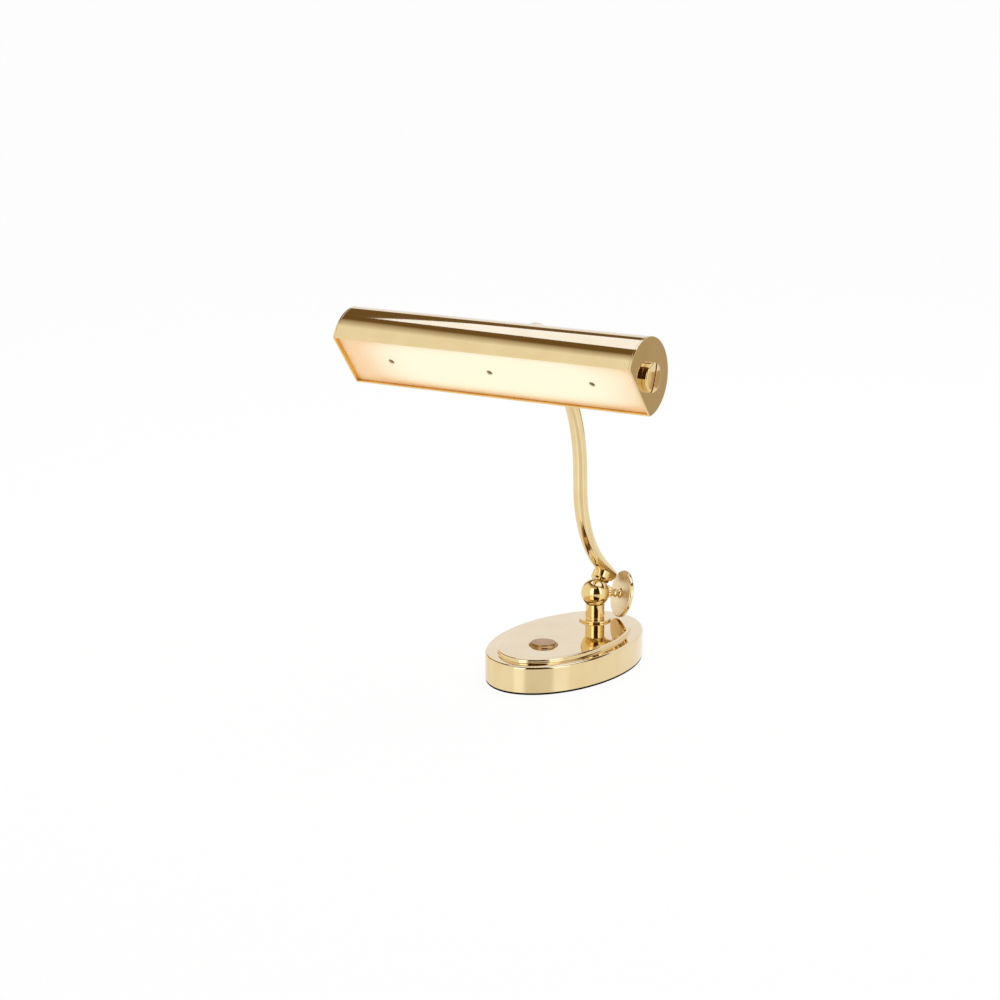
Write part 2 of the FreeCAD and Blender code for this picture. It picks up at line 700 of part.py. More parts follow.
# Collar: a short post on the stud, saddled under the arm tube
collar_foot = ball_r + size.collar_gap
tube_across = Rotation(V(1, 0, 0), 90)
saddle = cylinder("collar_saddle", tube_r, size.collar_diameter * 2,
                  stud_frame * at(0, size.collar_diameter, size.arm_reach, tube_across))
node("arm_collar", cut(
    "arm_collar", cylinder("collar_blank", size.collar_diameter / 2, size.collar_height,
                           stud_frame * at(0, 0, collar_foot)),
    saddle, cylinder("collar_bore", size.stud_neck_diameter / 2, size.arm_reach, stud_frame)))

# Arm ------------------------------------------------------------------------------------------


class Path:
    """A route in the YZ plane made of straight runs and arcs. It starts at a point, heading at an
    angle from +Z towards -Y, and can keep a sideways distance from the route that it is given."""

    def __init__(self, start, heading, offset=0.0):
        self.offset = offset
        self.heading = math.radians(heading)
        self.point = start + self.side() * offset
        self.edges = []

    def ahead(self):
        return V(0, -math.sin(self.heading), math.cos(self.heading))

    def side(self):
        return V(0, math.cos(self.heading), math.sin(self.heading))

    def straight(self, length):
        end = self.point + self.ahead() * length
        self.edges.append(Part.LineSegment(self.point, end).toShape())
        self.point = end

    def bend(self, radius, angle):
        """Turns by angle, positive towards -Y."""
        turn = math.copysign(1, angle)
        centre = self.point - self.side() * (radius + turn * self.offset) * turn
        start, first = self.point, self.side() * turn
        self.heading += math.radians(angle)
        last = self.side() * turn
        own_radius = radius + turn * self.offset
        middle = (first + last).normalize()
        self.point = centre + last * own_radius
        self.edges.append(Part.Arc(start, centre + middle * own_radius, self.point).toShape())


def arm_route(offset, tail, short_of_end):
    """The arm's centre line, or a line beside it: tail is how far it starts behind the stud."""
    across = float(size.stud_lean)
    foot = ball + V(0, math.sin(math.radians(across)), math.cos(math.radians(across))) * float(size.arm_reach)
    heading = 90.0 - across
    path = Path(foot, heading, offset)
    path.point = path.point - path.ahead() * tail
    path.straight(tail + float(size.lower_straight))
    path.bend(float(size.lower_bend_radius), -float(size.lower_bend_angle))
    path.straight(float(size.middle_straight))
    path.bend(float(size.middle_bend_radius), float(size.middle_bend_angle))
    path.straight(float(size.upper_straight))
    path.bend(float(size.upper_bend_radius), float(size.upper_bend_angle))
    path.straight(float(size.top_straight) - short_of_end)
    return path


def tube_along(path, radius):
    first = path.edges[0]
    start = first.valueAt(first.FirstParameter)
    ring = Part.Wire([Part.makeCircle(radius, start, first.tangentAt(first.FirstParameter))])
    return Part.Wire(path.edges).makePipeShell([ring], True, True)


whole_route = arm_route(0.0, 0.0, 0.0)
shade_centre = whole_route.point
shade_heading = math.degrees(whole_route.heading)
arm_angle = shade_heading - 90.0  # the arm meets the shade's axis from this angle, from +Y towards +Z
hub_frame = Placement(shade_centre, leaning(90 - arm_angle))
tube_path = arm_route(0.0, float(size.tail_length), float(size.hub_neck_length))
tube_solid = tube_along(tube_path, float(tube_r)).cut(tube_along(tube_path, float(tube_bore_r)))
stud_hole = Part.makeCylinder(float(size.stud_neck_diameter) / 2, float(size.arm_reach))
stud_hole.Placement = stud_frame
node("arm_tube", shaped("arm_tube", tube_solid.cut(stud_hole)))

# Tail plug: a turned button that closes the tube's lower end
tail_frame = stud_frame * at(0, size.tail_length, size.arm_reach, to_rear)
node("arm_tail_plug", turned("arm_tail_plug", [
    (0, 0), (tube_bore_r, 0), (tube_bore_r, size.plug_depth), (tube_r, size.plug_depth),
    (tube_r, size.plug_depth + size.tail_dome * 0.25), (tube_r * 0.85, size.plug_depth + size.tail_dome * 0.65),
    (tube_r * 0.5, size.plug_depth + size.tail_dome * 0.93), (0, size.plug_depth + size.tail_dome)],
    tail_frame * at(0, 0, -size.plug_depth)))

# Lead: the two-core wire inside the tube, lying along its rear wall
lead_r = size.lead_diameter / 2
lead_path = arm_route(float(tube_bore_r - lead_r - size.lead_gap), -float(size.lead_start),
                      float(size.hub_neck_length + size.hub_spigot_length + size.lead_gap))
node("arm_lead", shaped("arm_lead", tube_along(lead_path, float(lead_r))))

# Shade carrier --------------------------------------------------------------------------------

half_shade = size.shade_length / 2
rod_end = half_shade - size.cap_thickness - size.washer_thickness - size.bearing_gap * 2
rod_r = size.rod_diameter / 2
barrel_r = size.hub_barrel_diameter / 2
shade_r = size.shade_diameter / 2

# Hub: a cross barrel that clamps the rod, with a neck and spigot that the arm tube is brazed over
node("shade_hub", cut(
    "shade_hub",
    fuse("hub_blank",
         cylinder("hub_barrel", barrel_r, size.hub_barrel_length,
                  about_x(shade_centre, 0, -size.hub_barrel_length / 2)),
         cylinder("hub_neck", tube_r, size.hub_neck_length, hub_frame),
         cylinder("hub_spigot", tube_bore_r - size.bearing_gap, size.hub_neck_length + size.hub_spigot_length,
                  hub_frame)),
    cylinder("hub_cross_bore", rod_r, size.hub_barrel_length,
             about_x(shade_centre, 0, -size.hub_barrel_length / 2)),
    cylinder("hub_bore", size.hub_bore / 2, size.hub_neck_length + size.hub_spigot_length, hub_frame),
    *[cylinder("hub_screw_hole_%d" % i, size.hub_screw_diameter / 2, barrel_r,
               hub_frame * at(side * float(size.hub_screw_spacing) / 2, 0, 0)) for i, side in enumerate((-1, 1))]))
hub_screw_pattern = cylinder("hub_screw_pattern", size.hub_screw_diameter / 2, barrel_r - rod_r - size.edge_gap,
                             at(0, 0, rod_r))
node("hub_screws", repeated("hub_screws", hub_screw_pattern, [
    hub_frame * at(side * float(size.hub_screw_spacing) / 2, 0, 0) for side in (-1, 1)]))

# Rod: the tube through the shade on which the shade turns, open in the middle for the wires
node("shade_rod", cut(
    "shade_rod", cylinder("rod_blank", rod_r, rod_end * 2, about_x(shade_centre, 0, -rod_end)),
    cylinder("rod_bore", size.rod_bore / 2, rod_end * 2, about_x(shade_centre, 0, -rod_end)),
    cylinder("rod_wire_hole", size.hub_bore / 2, rod_r, hub_frame)))

for side_name, side in (("left", -1), ("right", 1)):
    outward = Placement(shade_centre, Rotation(UP, V(side, 0, 0)))
    # Fibre washer between the rod's end and the cap
    node("friction_washer_" + side_name, turned("friction_washer_" + side_name, [
        (size.rod_bore / 2, 0), (size.washer_diameter / 2, 0), (size.washer_diameter / 2, size.washer_thickness),
        (size.rod_bore / 2, size.washer_thickness)], outward * at(0, 0, rod_end)))
    # End screw: a broad slotted cheese head outside the cap, its shank screwed into the rod
    head_foot = half_shade + size.bearing_gap
    shank_start = head_foot - size.end_shank_length
    head_r = size.end_head_diameter / 2
    head_top = size.end_shank_length + size.end_head_height
    face_edge = head_top - size.end_head_dome  # where the low dome of the face meets the rounded edge
    screw = turned("end_screw_blank_" + side_name, [
        (0, 0), (size.rod_bore / 2 - size.bearing_gap, 0),
        (size.rod_bore / 2 - size.bearing_gap, size.end_shank_length),
        (head_r, size.end_shank_length), (head_r, face_edge - size.end_head_round),
        (head_r - size.end_head_round * 0.3, face_edge - size.end_head_round * 0.3),
        (head_r - size.end_head_round, face_edge), (head_r / 2, head_top - size.end_head_dome / 4),
        (0, head_top)], outward * at(0, 0, shank_start))
    slot = box("end_slot_" + side_name, (-size.end_slot_width / 2, -head_r * 2, head_top - size.end_slot_depth),
               size.end_slot_width, head_r * 4, size.end_slot_depth * 2,
               outward * at(0, 0, shank_start, Rotation(UP, 90 - float(size.end_slot_lean))))
    node("end_screw_" + side_name, cut("end_screw_" + side_name, screw, slot))

# Shade ----------------------------------------------------------------------------------------

facing = 180.0 + float(size.opening_dip)  # the way that the light opening faces, from +Y towards +Z
low_lip = facing + float(size.opening_angle) / 2
light_frame = Placement(shade_centre, leaning(90 - facing))
shell_length = size.shade_length - size.cap_thickness * 2
lip_offset = shade_r.value * math.cos(math.radians(float(size.opening_angle) / 2))
slot_half = tube_r + size.slot_side_gap

# Shell: rolled brass sheet, open in front, with a slot at the back for the arm
shell_arc = cut("shell_arc",
                cylinder("shell_sector", shade_r, shell_length, about_x(shade_centre, low_lip, -shell_length / 2),
                         Angle=Dim(360) - size.opening_angle),
                cylinder("shell_inside", shade_r - size.sheet_thickness, shell_length,
                         about_x(shade_centre, 0, -shell_length / 2)))
arm_slot = [cylinder("arm_slot_wedge", shade_r * 1.1, slot_half * 2,
                     about_x(shade_centre, arm_angle - float(size.turn_down), -slot_half),
                     Angle=size.turn_down + size.turn_up)]
for i, end in enumerate((arm_angle - float(size.turn_down), arm_angle + float(size.turn_up))):
    arm_slot.append(cylinder("arm_slot_end_%d" % i, slot_half, shade_r * 1.1,
                             Placement(shade_centre, leaning(90 - end))))
node("shade_shell", cut("shade_shell", shell_arc, *arm_slot))

# Caps: flat brass plates brazed into the ends, cut straight from lip to lip
for side_name, start in (("left", -half_shade), ("right", half_shade - size.cap_thickness)):
    disc = cylinder("cap_disc_" + side_name, shade_r, size.cap_thickness, about_x(shade_centre, 0, start))
    beyond = box("cap_beyond_" + side_name, (-half_shade * 2, -shade_r * 2, lip_offset),
                 half_shade * 4, shade_r * 4, shade_r, light_frame)
    hole = cylinder("cap_hole_" + side_name, size.rod_bore / 2, size.cap_thickness,
                    about_x(shade_centre, 0, start))
    node("end_cap_" + side_name, cut("end_cap_" + side_name, disc, beyond, hole))


def across(name, low, high, half_width, half_length):
    """A flat slab inside the shade, from low to high towards the opening."""
    return box(name, (-half_length, -half_width, low), half_length * 2, half_width * 2, high - low, light_frame)


def inner_half_width(offset):
    """Half the room inside the shell at this distance from its axis, less the gap at each edge."""
    inside = shade_r - size.sheet_thickness
    return root(inside * inside - dim(offset) * dim(offset)) - size.edge_gap


panel_face = Dim(lip_offset) - size.panel_recess
panel_back = panel_face - size.panel_thickness
tray_face = size.tray_offset + size.tray_thickness
strip_face = tray_face + size.strip_thickness
inner_half = shell_length / 2
screw_places = [light_frame * at(n * float(size.panel_screw_pitch), 0, 0) for n in (-1, 0, 1)]

# Tray: a folded aluminium channel from cap to cap that carries the light strip and the panel
tray_half = inner_half_width(tray_face)
tray_plate = across("tray_plate", size.tray_offset, tray_face, tray_half, inner_half)
lip_half = tray_half - size.tray_lip_inset
tray_lips = [box("tray_lip_%d" % i, (-inner_half, start, tray_face), inner_half * 2, size.tray_lip,
                 panel_back - tray_face, light_frame) for i, start in enumerate((-lip_half, lip_half - size.tray_lip))]
tray_holes = [cylinder("tray_hole_%d" % i, size.panel_screw_diameter / 2, panel_back, place)
              for i, place in enumerate(screw_places)]
node("light_tray", cut("light_tray", fuse("tray_blank", tray_plate, *tray_lips), *tray_holes))

# Light strip: an aluminium-backed board with two rows of chips
strip_half = inner_half - size.washer_thickness
strip_holes = [cylinder("strip_hole_%d" % i, size.panel_screw_diameter / 2 + size.edge_gap, strip_face, place)
               for i, place in enumerate(screw_places)]
node("light_strip", cut("light_strip", across("strip_blank", tray_face, strip_face, size.strip_width / 2,
                                              strip_half), *strip_holes))
chip_pattern = box("light_chip_pattern", (-size.chip_size / 2, -size.chip_size / 2, 0), size.chip_size,
                   size.chip_size, size.chip_thickness)
chip_count = int(float(strip_half) * 2 / float(size.chip_pitch))
chip_start = -(chip_count - 1) / 2 * float(size.chip_pitch)
node("light_chips", repeated("light_chips", chip_pattern, [
    light_frame * at(chip_start + n * float(size.chip_pitch), row * float(size.chip_rows_spacing) / 2, strip_face)
    for n in range(chip_count) for row in (-1, 1)]))

# Panel: opal plastic that closes the opening just inside the lips, with three counterbored holes
panel_holes = []
for i, place in enumerate(screw_places):
    panel_holes.append(cylinder("panel_hole_%d" % i, size.panel_screw_diameter / 2 + size.edge_gap,
                                panel_face, place))
    panel_holes.append(cylinder("panel_sink_%d" % i, size.panel_screw_head / 2 + size.edge_gap,
                                size.panel_thickness, place * at(0, 0, panel_face - size.panel_screw_sink)))
node("diffuser_panel", cut("diffuser_panel", across("panel_blank", panel_back, panel_face,
                                                    inner_half_width(panel_face), inner_half), *panel_holes))
panel_screw_foot = size.tray_offset
head_level = panel_face - size.panel_screw_sink
panel_screw_pattern = turned("panel_screw_pattern", [
    (0, 0), (size.panel_screw_diameter / 2, 0), (size.panel_screw_diameter / 2, head_level - panel_screw_foot),
    (size.panel_screw_head / 2, head_level - panel_screw_foot),
    (size.panel_screw_head / 2, head_level - panel_screw_foot + size.panel_screw_sink / 2),
    (0, head_level - panel_screw_foot + size.panel_screw_sink / 2)], at(0, 0, panel_screw_foot))
node("panel_screws", repeated("panel_screws", panel_screw_pattern, screw_places))

# Clamp knob -----------------------------------------------------------------------------------

# Ring: a milled lock ring on the screw, against the flat on the ball
node("clamp_ring", turned("clamp_ring", [
    (size.thread_diameter / 2 + size.bearing_gap, 0), (size.ring_diameter / 2, 0),
    (size.ring_diameter / 2, size.ring_thickness),
    (size.thread_diameter / 2 + size.bearing_gap, size.ring_thickness)], knob_frame * at(0, 0, ring_foot)))

# Spindle: the clamp screw with its turned hub, whose point presses on the stud's ball
point_start = pocket_r + size.bearing_gap
thread_r = size.thread_diameter / 2
hub_start = ring_foot + size.ring_thickness + size.edge_gap
hub_end = hub_start + size.hub_length
flare_end = size.disc_reach
rest = flare_end - hub_end
profile = [
    (0, point_start), (size.point_diameter / 2, point_start),
    (size.point_diameter / 2, point_start + size.point_length), (thread_r, point_start + size.point_length),
    (thread_r, hub_start), (size.hub_diameter * 0.42, hub_start),
    (size.hub_diameter / 2, hub_start + size.hub_length * 0.25),
    (size.hub_diameter / 2, hub_end - size.hub_length * 0.25), (size.hub_diameter * 0.42, hub_end),
    (size.knob_neck_diameter / 2, hub_end), (size.knob_neck_diameter / 2, hub_end + rest * 0.15),
    (size.bead_diameter / 2, hub_end + rest * 0.25), (size.bead_diameter / 2, hub_end + rest * 0.45),
    (size.knob_neck_diameter / 2, hub_end + rest * 0.55), (size.flare_diameter / 2, flare_end),
    (thread_r, flare_end), (thread_r, flare_end + size.disc_thickness),
    (thread_r * 1.6, flare_end + size.disc_thickness),
    (thread_r, flare_end + size.disc_thickness + size.rivet_height),
    (0, flare_end + size.disc_thickness + size.rivet_height)]
node("clamp_spindle", turned("clamp_spindle", [(r, dim(z) - point_start) for r, z in profile],
                             knob_frame * at(0, 0, point_start)))

# Disc: the flat round grip, riveted on the spindle
edge = size.disc_round
disc_r = size.disc_diameter / 2
node("clamp_disc", turned("clamp_disc", [
    (thread_r, 0), (disc_r - edge, 0), (disc_r - edge * 0.3, edge * 0.3), (disc_r, edge),
    (disc_r, size.disc_thickness - edge), (disc_r - edge * 0.3, size.disc_thickness - edge * 0.3),
    (disc_r - edge, size.disc_thickness), (thread_r, size.disc_thickness)], knob_frame * at(0, 0, flare_end)))

# Check and write ------------------------------------------------------------------------------

doc.recompute()
for item in doc.Objects:
    for word in ("Invalid", "Error"):
        if word in item.State:
            raise RuntimeError("%s is %s" % (item.Label, word))
for item in nodes:
    if item.Shape.isNull() or not item.Shape.isValid() or not item.Shape.Solids:
        raise RuntimeError("%s has no sound shape" % item.Label)
os.makedirs("parts", exist_ok=True)
for item in nodes:
    item.Shape.exportStep("parts/%s.step" % item.Label)
    extent = item.Shape.BoundBox
    print("%-22s %d solids %9.1f mm3  x %.1f..%.1f y %.1f..%.1f z %.1f..%.1f" % (
        item.Label, len(item.Shape.Solids), item.Shape.Volume, extent.XMin, extent.XMax,
        extent.YMin, extent.YMax, extent.ZMin, extent.ZMax))
print("ball centre", ball, "shade axis", shade_centre, "knob axis", knob_axis, "arm angle", arm_angle)
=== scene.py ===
import json
import math

import bpy
from mathutils import Matrix, Vector


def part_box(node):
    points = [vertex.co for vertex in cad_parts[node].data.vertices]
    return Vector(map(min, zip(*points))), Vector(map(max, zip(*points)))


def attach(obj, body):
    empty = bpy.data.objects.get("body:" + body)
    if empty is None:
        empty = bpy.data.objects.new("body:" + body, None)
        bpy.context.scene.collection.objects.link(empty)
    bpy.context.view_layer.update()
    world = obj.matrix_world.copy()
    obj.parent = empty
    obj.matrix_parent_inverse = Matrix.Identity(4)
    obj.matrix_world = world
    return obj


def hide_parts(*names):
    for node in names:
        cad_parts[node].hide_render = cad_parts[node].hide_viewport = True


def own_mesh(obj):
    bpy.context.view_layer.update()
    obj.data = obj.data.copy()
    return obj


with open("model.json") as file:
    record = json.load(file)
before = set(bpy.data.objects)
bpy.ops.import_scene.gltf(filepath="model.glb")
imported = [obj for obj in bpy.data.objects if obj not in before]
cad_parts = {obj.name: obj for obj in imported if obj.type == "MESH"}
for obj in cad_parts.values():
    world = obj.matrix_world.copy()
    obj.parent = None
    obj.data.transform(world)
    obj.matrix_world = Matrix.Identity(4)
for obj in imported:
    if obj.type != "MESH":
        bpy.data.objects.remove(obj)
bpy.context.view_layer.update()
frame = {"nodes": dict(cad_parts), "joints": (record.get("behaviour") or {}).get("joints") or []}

# Base shell --------------------------------------------------------------------------------------
# An oval of sheet brass, spun with a flat ledge and a raised deck, mirror-polished and lacquered.
# It stands open side down, with holes for the column, the push switch and the supply inlet.

mm = 0.001
base_length = 170.0
base_width = 102.0
pad_thickness = 1.6
shell_height = 20.4
shell_wall = 2.0
rim_round = 2.2
deck_inset = 9.5
deck_height = 3.0
deck_round = 1.6
ledge_level = pad_thickness + shell_height
deck_level = ledge_level + deck_height
foot_round = 0.7  # a small fillet where the ledge meets the deck's wall
oval_sides = 256


def linear(hex_colour):
    """An sRGB hex colour as the linear RGBA that Blender's sockets take."""
    parts = [int(hex_colour[i:i + 2], 16) / 255 for i in (1, 3, 5)]
    return [c / 12.92 if c <= 0.04045 else ((c + 0.055) / 1.055) ** 2.4 for c in parts] + [1.0]


def add_node(tree, kind, settings=None, **inputs):
    """Adds a shader node. An input is a value, or the socket of another node to link from."""
    made = tree.nodes.new("ShaderNode" + kind)
    for name, value in (settings or {}).items():
        setattr(made, name, value)
    for name, value in inputs.items():
        socket = made.inputs[int(name[2:])] if name.startswith("in") else made.inputs[name.replace("_", " ")]
        if isinstance(value, bpy.types.NodeSocket):
            tree.links.new(value, socket)
        else:
            socket.default_value = value
    return made


def two_colours(tree, factor, low, high, start=0.3, end=0.7):
    """A ramp from one hex colour to another, which gives a Color socket."""
    ramp = add_node(tree, "ValToRGB", Fac=factor)
    ramp.color_ramp.elements[0].color = linear(low)
    ramp.color_ramp.elements[0].position = start
    ramp.color_ramp.elements[1].color = linear(high)
    ramp.color_ramp.elements[1].position = end
    return ramp.outputs["Color"]


def new_material(name):
    made = bpy.data.materials.new(name)
    made.use_nodes = True
    made.node_tree.nodes.remove(made.node_tree.nodes["Principled BSDF"])
    return made


def surface(tree, shader_socket):
    """Makes this shader what the material shows."""
    tree.links.new(shader_socket, tree.nodes["Material Output"].inputs["Surface"])


def grain(tree, size, detail=4.0, stretch=(1, 1, 1)):
    """Noise whose patches are about this many millimetres across, on the piece's own coordinates."""
    place = add_node(tree, "TexCoord").outputs["Object"]
    turned = add_node(tree, "Mapping", Vector=place, Scale=stretch).outputs["Vector"]
    return add_node(tree, "TexNoise", Vector=turned, Scale=1 / (size * mm), Detail=detail).outputs["Fac"]


def polished_brass(name, low, high, roughness, haze):
    """Polished brass under clear lacquer: buffing leaves a faint haze and slow waves in its reflections."""
    made = new_material(name)
    tree = made.node_tree
    patches = grain(tree, 25)
    wiped = add_node(tree, "MapRange", Value=grain(tree, 6, 6), in3=roughness,
                     in4=roughness + haze).outputs["Result"]
    buffed = add_node(tree, "Bump", Strength=0.02, Distance=0.05 * mm, Height=grain(tree, 9, 2)).outputs["Normal"]
    shader = add_node(tree, "BsdfPrincipled", Base_Color=two_colours(tree, patches, low, high), Metallic=1.0,
                      Roughness=wiped, Normal=buffed, Coat_Weight=0.15, Coat_Roughness=0.03)
    surface(tree, shader.outputs["BSDF"])
    return made


def select_only(piece):
    bpy.ops.object.select_all(action="DESELECT")
    piece.select_set(True)
    bpy.context.view_layer.objects.active = piece


def select_faces(piece, chosen):
    """In edit mode, selects just the faces that chosen(centre, normal) says, by their place."""
    bpy.ops.mesh.select_mode(type="FACE")
    bpy.ops.mesh.select_all(action="DESELECT")
    bpy.ops.object.mode_set(mode="OBJECT")
    for face in piece.data.polygons:
        face.select = chosen(face.center, face.normal)
    bpy.ops.object.mode_set(mode="EDIT")


def cut_away(piece, tool):
    """Takes the tool's shape out of the piece, and clears the tool away."""
    select_only(piece)
    taken = piece.modifiers.new("cut", "BOOLEAN")
    taken.object = tool
    taken.solver = "EXACT"
    bpy.ops.object.modifier_apply(modifier=taken.name)
    bpy.data.objects.remove(tool, do_unlink=True)


def drill(piece, radius, length, place):
    """Drills a round hole from place along its +Z."""
    bpy.ops.mesh.primitive_cylinder_add(vertices=96, radius=radius * mm, depth=length * mm)
    bit = bpy.context.object
    bit.data.transform(place @ Matrix.Translation((0, 0, length * mm / 2)))
    cut_away(piece, bit)


def soften(piece, width, segments=3):
    """Breaks the sharp edges, as buffing does, and keeps the flats flat in their reflections."""
    select_only(piece)
    edges = piece.modifiers.new("edges", "BEVEL")
    edges.width = width * mm
    edges.segments = segments
    edges.limit_method = "ANGLE"
    edges.angle_limit = math.radians(35)
    bpy.ops.object.modifier_apply(modifier=edges.name)
    bpy.ops.object.shade_smooth()
    flats = piece.modifiers.new("flats", "WEIGHTED_NORMAL")
    flats.mode = "FACE_AREA"
    bpy.ops.object.modifier_apply(modifier=flats.name)


def fit(piece, body, slot, material, place, *cad_nodes):
    """Sets a finished piece in its place on its body, in its material, for the CAD nodes that it stands for."""
    piece.data.transform(place)
    piece.data.materials.clear()
    piece.data.materials.append(material)
    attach(piece, body)
    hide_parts(*cad_nodes)


def refinish(piece, material, chosen):
    """Gives another finish to the faces of a finished piece that chosen(centre, normal) says."""
    select_only(piece)
    piece.data.materials.append(material)
    bpy.ops.object.mode_set(mode="EDIT")
    select_faces(piece, chosen)
    piece.active_material_index = len(piece.data.materials) - 1
    bpy.ops.object.material_slot_assign()
    bpy.ops.object.mode_set(mode="OBJECT")


def round_over(inset, level, radius, steps):
    """The (inset, height) rings of a rounded edge, from a wall at this inset up to a flat at this height."""
    turns = [math.radians(90 * step / steps) for step in range(1, steps + 1)]
    return [(inset + radius * (1 - math.cos(turn)), level - radius * (1 - math.sin(turn))) for turn in turns]


here = Matrix.Identity(4)
shell_brass = polished_brass("spun_brass_mirror_polished", "#E4CA95", "#EAD3A2", 0.045, 0.03)

bpy.ops.object.select_all(action="DESELECT")
bpy.ops.mesh.primitive_circle_add(vertices=oval_sides, radius=1.0, location=(0, 0, 0))
base_shell = bpy.context.object
base_shell.name = "base_shell_spun"
bpy.ops.object.mode_set(mode="EDIT")
oval_rings = [(0.0, pad_thickness), (0.0, ledge_level - rim_round)]
oval_rings += round_over(0.0, ledge_level, rim_round, 10)
oval_rings += [(deck_inset - foot_round, ledge_level),
               (deck_inset - foot_round * 0.3, ledge_level + foot_round * 0.3),
               (deck_inset, ledge_level + foot_round), (deck_inset, deck_level - deck_round)]
oval_rings += round_over(deck_inset, deck_level, deck_round, 6)
half_x, half_y, height = 1.0, 1.0, 0.0
for index, (inset, level) in enumerate(oval_rings):
    next_x = (base_width / 2 - inset) * mm
    next_y = (base_length / 2 - inset) * mm
    if index:
        bpy.ops.mesh.extrude_region_move(TRANSFORM_OT_translate={"value": (0, 0, level * mm - height)})
    else:
        bpy.ops.transform.translate(value=(0, 0, level * mm))
    bpy.ops.transform.resize(value=(next_x / half_x, next_y / half_y, 1), center_override=(0, 0, level * mm))
    half_x, half_y, height = next_x, next_y, level * mm
bpy.ops.mesh.edge_face_add()
bpy.ops.mesh.select_all(action="SELECT")
bpy.ops.mesh.normals_make_consistent(inside=False)
bpy.ops.object.mode_set(mode="OBJECT")
select_only(base_shell)
sheet = base_shell.modifiers.new("sheet", "SOLIDIFY")
sheet.thickness = shell_wall * mm
sheet.offset = -1
bpy.ops.object.modifier_apply(modifier=sheet.name)

joints = {joint["name"]: joint for joint in frame["joints"]}
ball_centre = Vector(joints["arm_tilt"]["pos_m"])
column_y = ball_centre.y
switch_y = -33.2 * mm
column_hole = 5.05
switch_hole = 10.85
drill(base_shell, column_hole, 8, Matrix.Translation((0, column_y, (deck_level - 5) * mm)))
drill(base_shell, switch_hole, 8, Matrix.Translation((0, switch_y, (deck_level - 5) * mm)))
rearward = Matrix.Rotation(math.radians(-90), 4, "X")
inlet_height = 11.0
inlet_hole = 4.05
inlet_spot_face = 5.65
spot_face_depth = 0.6
rear_end = base_length / 2
drill(base_shell, inlet_hole, 12, Matrix.Translation((0, (rear_end - 8) * mm, inlet_height * mm)) @ rearward)
drill(base_shell, inlet_spot_face, 4,
      Matrix.Translation((0, (rear_end - spot_face_depth) * mm, inlet_height * mm)) @ rearward)
soften(base_shell, 0.15, 2)
fit(base_shell, "base", "polished_brass", shell_brass, here, "base_shell")

# Foot of the base ---------------------------------------------------------------------------------
# A black wool felt pad under a zinc-plated steel plate, with four countersunk screws.
# The felt is pressed and die-cut: it is dull black, with short fibres that give it a fine unevenness.

felt = new_material("pressed_wool_felt")
tree = felt.node_tree
fibres = grain(tree, 0.6, 8)
felt_bump = add_node(tree, "Bump", Strength=0.8, Distance=0.3 * mm, Height=fibres).outputs["Normal"]
shader = add_node(tree, "BsdfPrincipled", Base_Color=two_colours(tree, fibres, "#050404", "#12100E"), Roughness=1.0,
                  Specular_IOR_Level=0.2, Normal=felt_bump)
surface(tree, shader.outputs["BSDF"])


def stock(name, low, high, roughness, metallic=0.0, patch=3.0, bump=0.05, **more):
    """A plain stock material, mottled from one colour to the other in patches of this many millimetres."""
    made = new_material(name)
    tree = made.node_tree
    mottle = grain(tree, patch, 5)
    relief = add_node(tree, "Bump", Strength=bump, Distance=0.1 * mm, Height=mottle).outputs["Normal"]
    shader = add_node(tree, "BsdfPrincipled", Base_Color=two_colours(tree, mottle, low, high), Roughness=roughness,
                      Metallic=metallic, Normal=relief, **more)
    surface(tree, shader.outputs["BSDF"])
    return made


def paint(material, *names):
    """Gives CAD nodes that stay as they are their material."""
    for name in names:
        frame["nodes"][name].data.materials.clear()
        frame["nodes"][name].data.materials.append(material)


zinc = stock("zinc_plated_steel", "#A9ABAC", "#C3C4C4", 0.35, 1.0, 4.0)
spring_steel = stock("drawn_spring_steel", "#7B7D80", "#94979A", 0.3, 1.0, 2.0)
cast_iron = stock("sand_cast_iron", "#2B2B2C", "#3C3B3A", 0.7, 0.6, 1.2, 0.5)
moulded_plastic = stock("moulded_thermoplastic", "#121213", "#1C1C1D", 0.45, 0.0, 0.8, 0.15)
nylon = stock("natural_nylon", "#DDD9CE", "#EAE7DE", 0.4, 0.0, 2.0)
board = stock("glass_epoxy_board", "#12432A", "#185434", 0.35, 0.0, 1.5)
sheet_aluminium = stock("mill_finish_aluminium", "#C4C6C8", "#D6D7D8", 0.3, 1.0, 8.0)
white_mask = stock("white_solder_mask", "#E9E7E0", "#F4F2EC", 0.4, 0.0, 5.0)
phosphor = stock("phosphor_in_resin", "#E9C04A", "#F2D067", 0.3, 0.0, 0.8)
fibre = stock("vulcanised_fibre", "#5A2F1B", "#71402A", 0.6, 0.0, 1.0, 0.3)
sheath = stock("soft_vinyl_sheath", "#BDBAB0", "#CDCAC1", 0.5, 0.0, 2.0)
plain_brass = stock("turned_brass", "#CFA85E", "#DDB86E", 0.25, 1.0, 5.0)
paint(felt, "felt_pad")
paint(zinc, "base_plate", "base_plate_screws", "inlet_nut", "column_nut", "swivel_screw", "hub_screws")
paint(spring_steel, "lock_washer", "seat_spring")
paint(cast_iron, "base_weight")
paint(moulded_plastic, "switch_body", "dimmer_parts", "dc_inlet")
paint(nylon, "board_spacers", "friction_seat")
paint(board, "dimmer_board")
paint(sheet_aluminium, "light_tray")
paint(white_mask, "light_strip")
paint(phosphor, "light_chips")
paint(fibre, "friction_washer_left", "friction_washer_right")
paint(sheath, "arm_lead")
paint(plain_brass, "switch_nut", "shade_rod", "shade_hub")

# Push switch --------------------------------------------------------------------------------------
# A turned bezel with a threaded sleeve, and a flanged button in satin bronze-brown brass.
# The button's face is brushed one way, which draws its reflections out across the brushing.

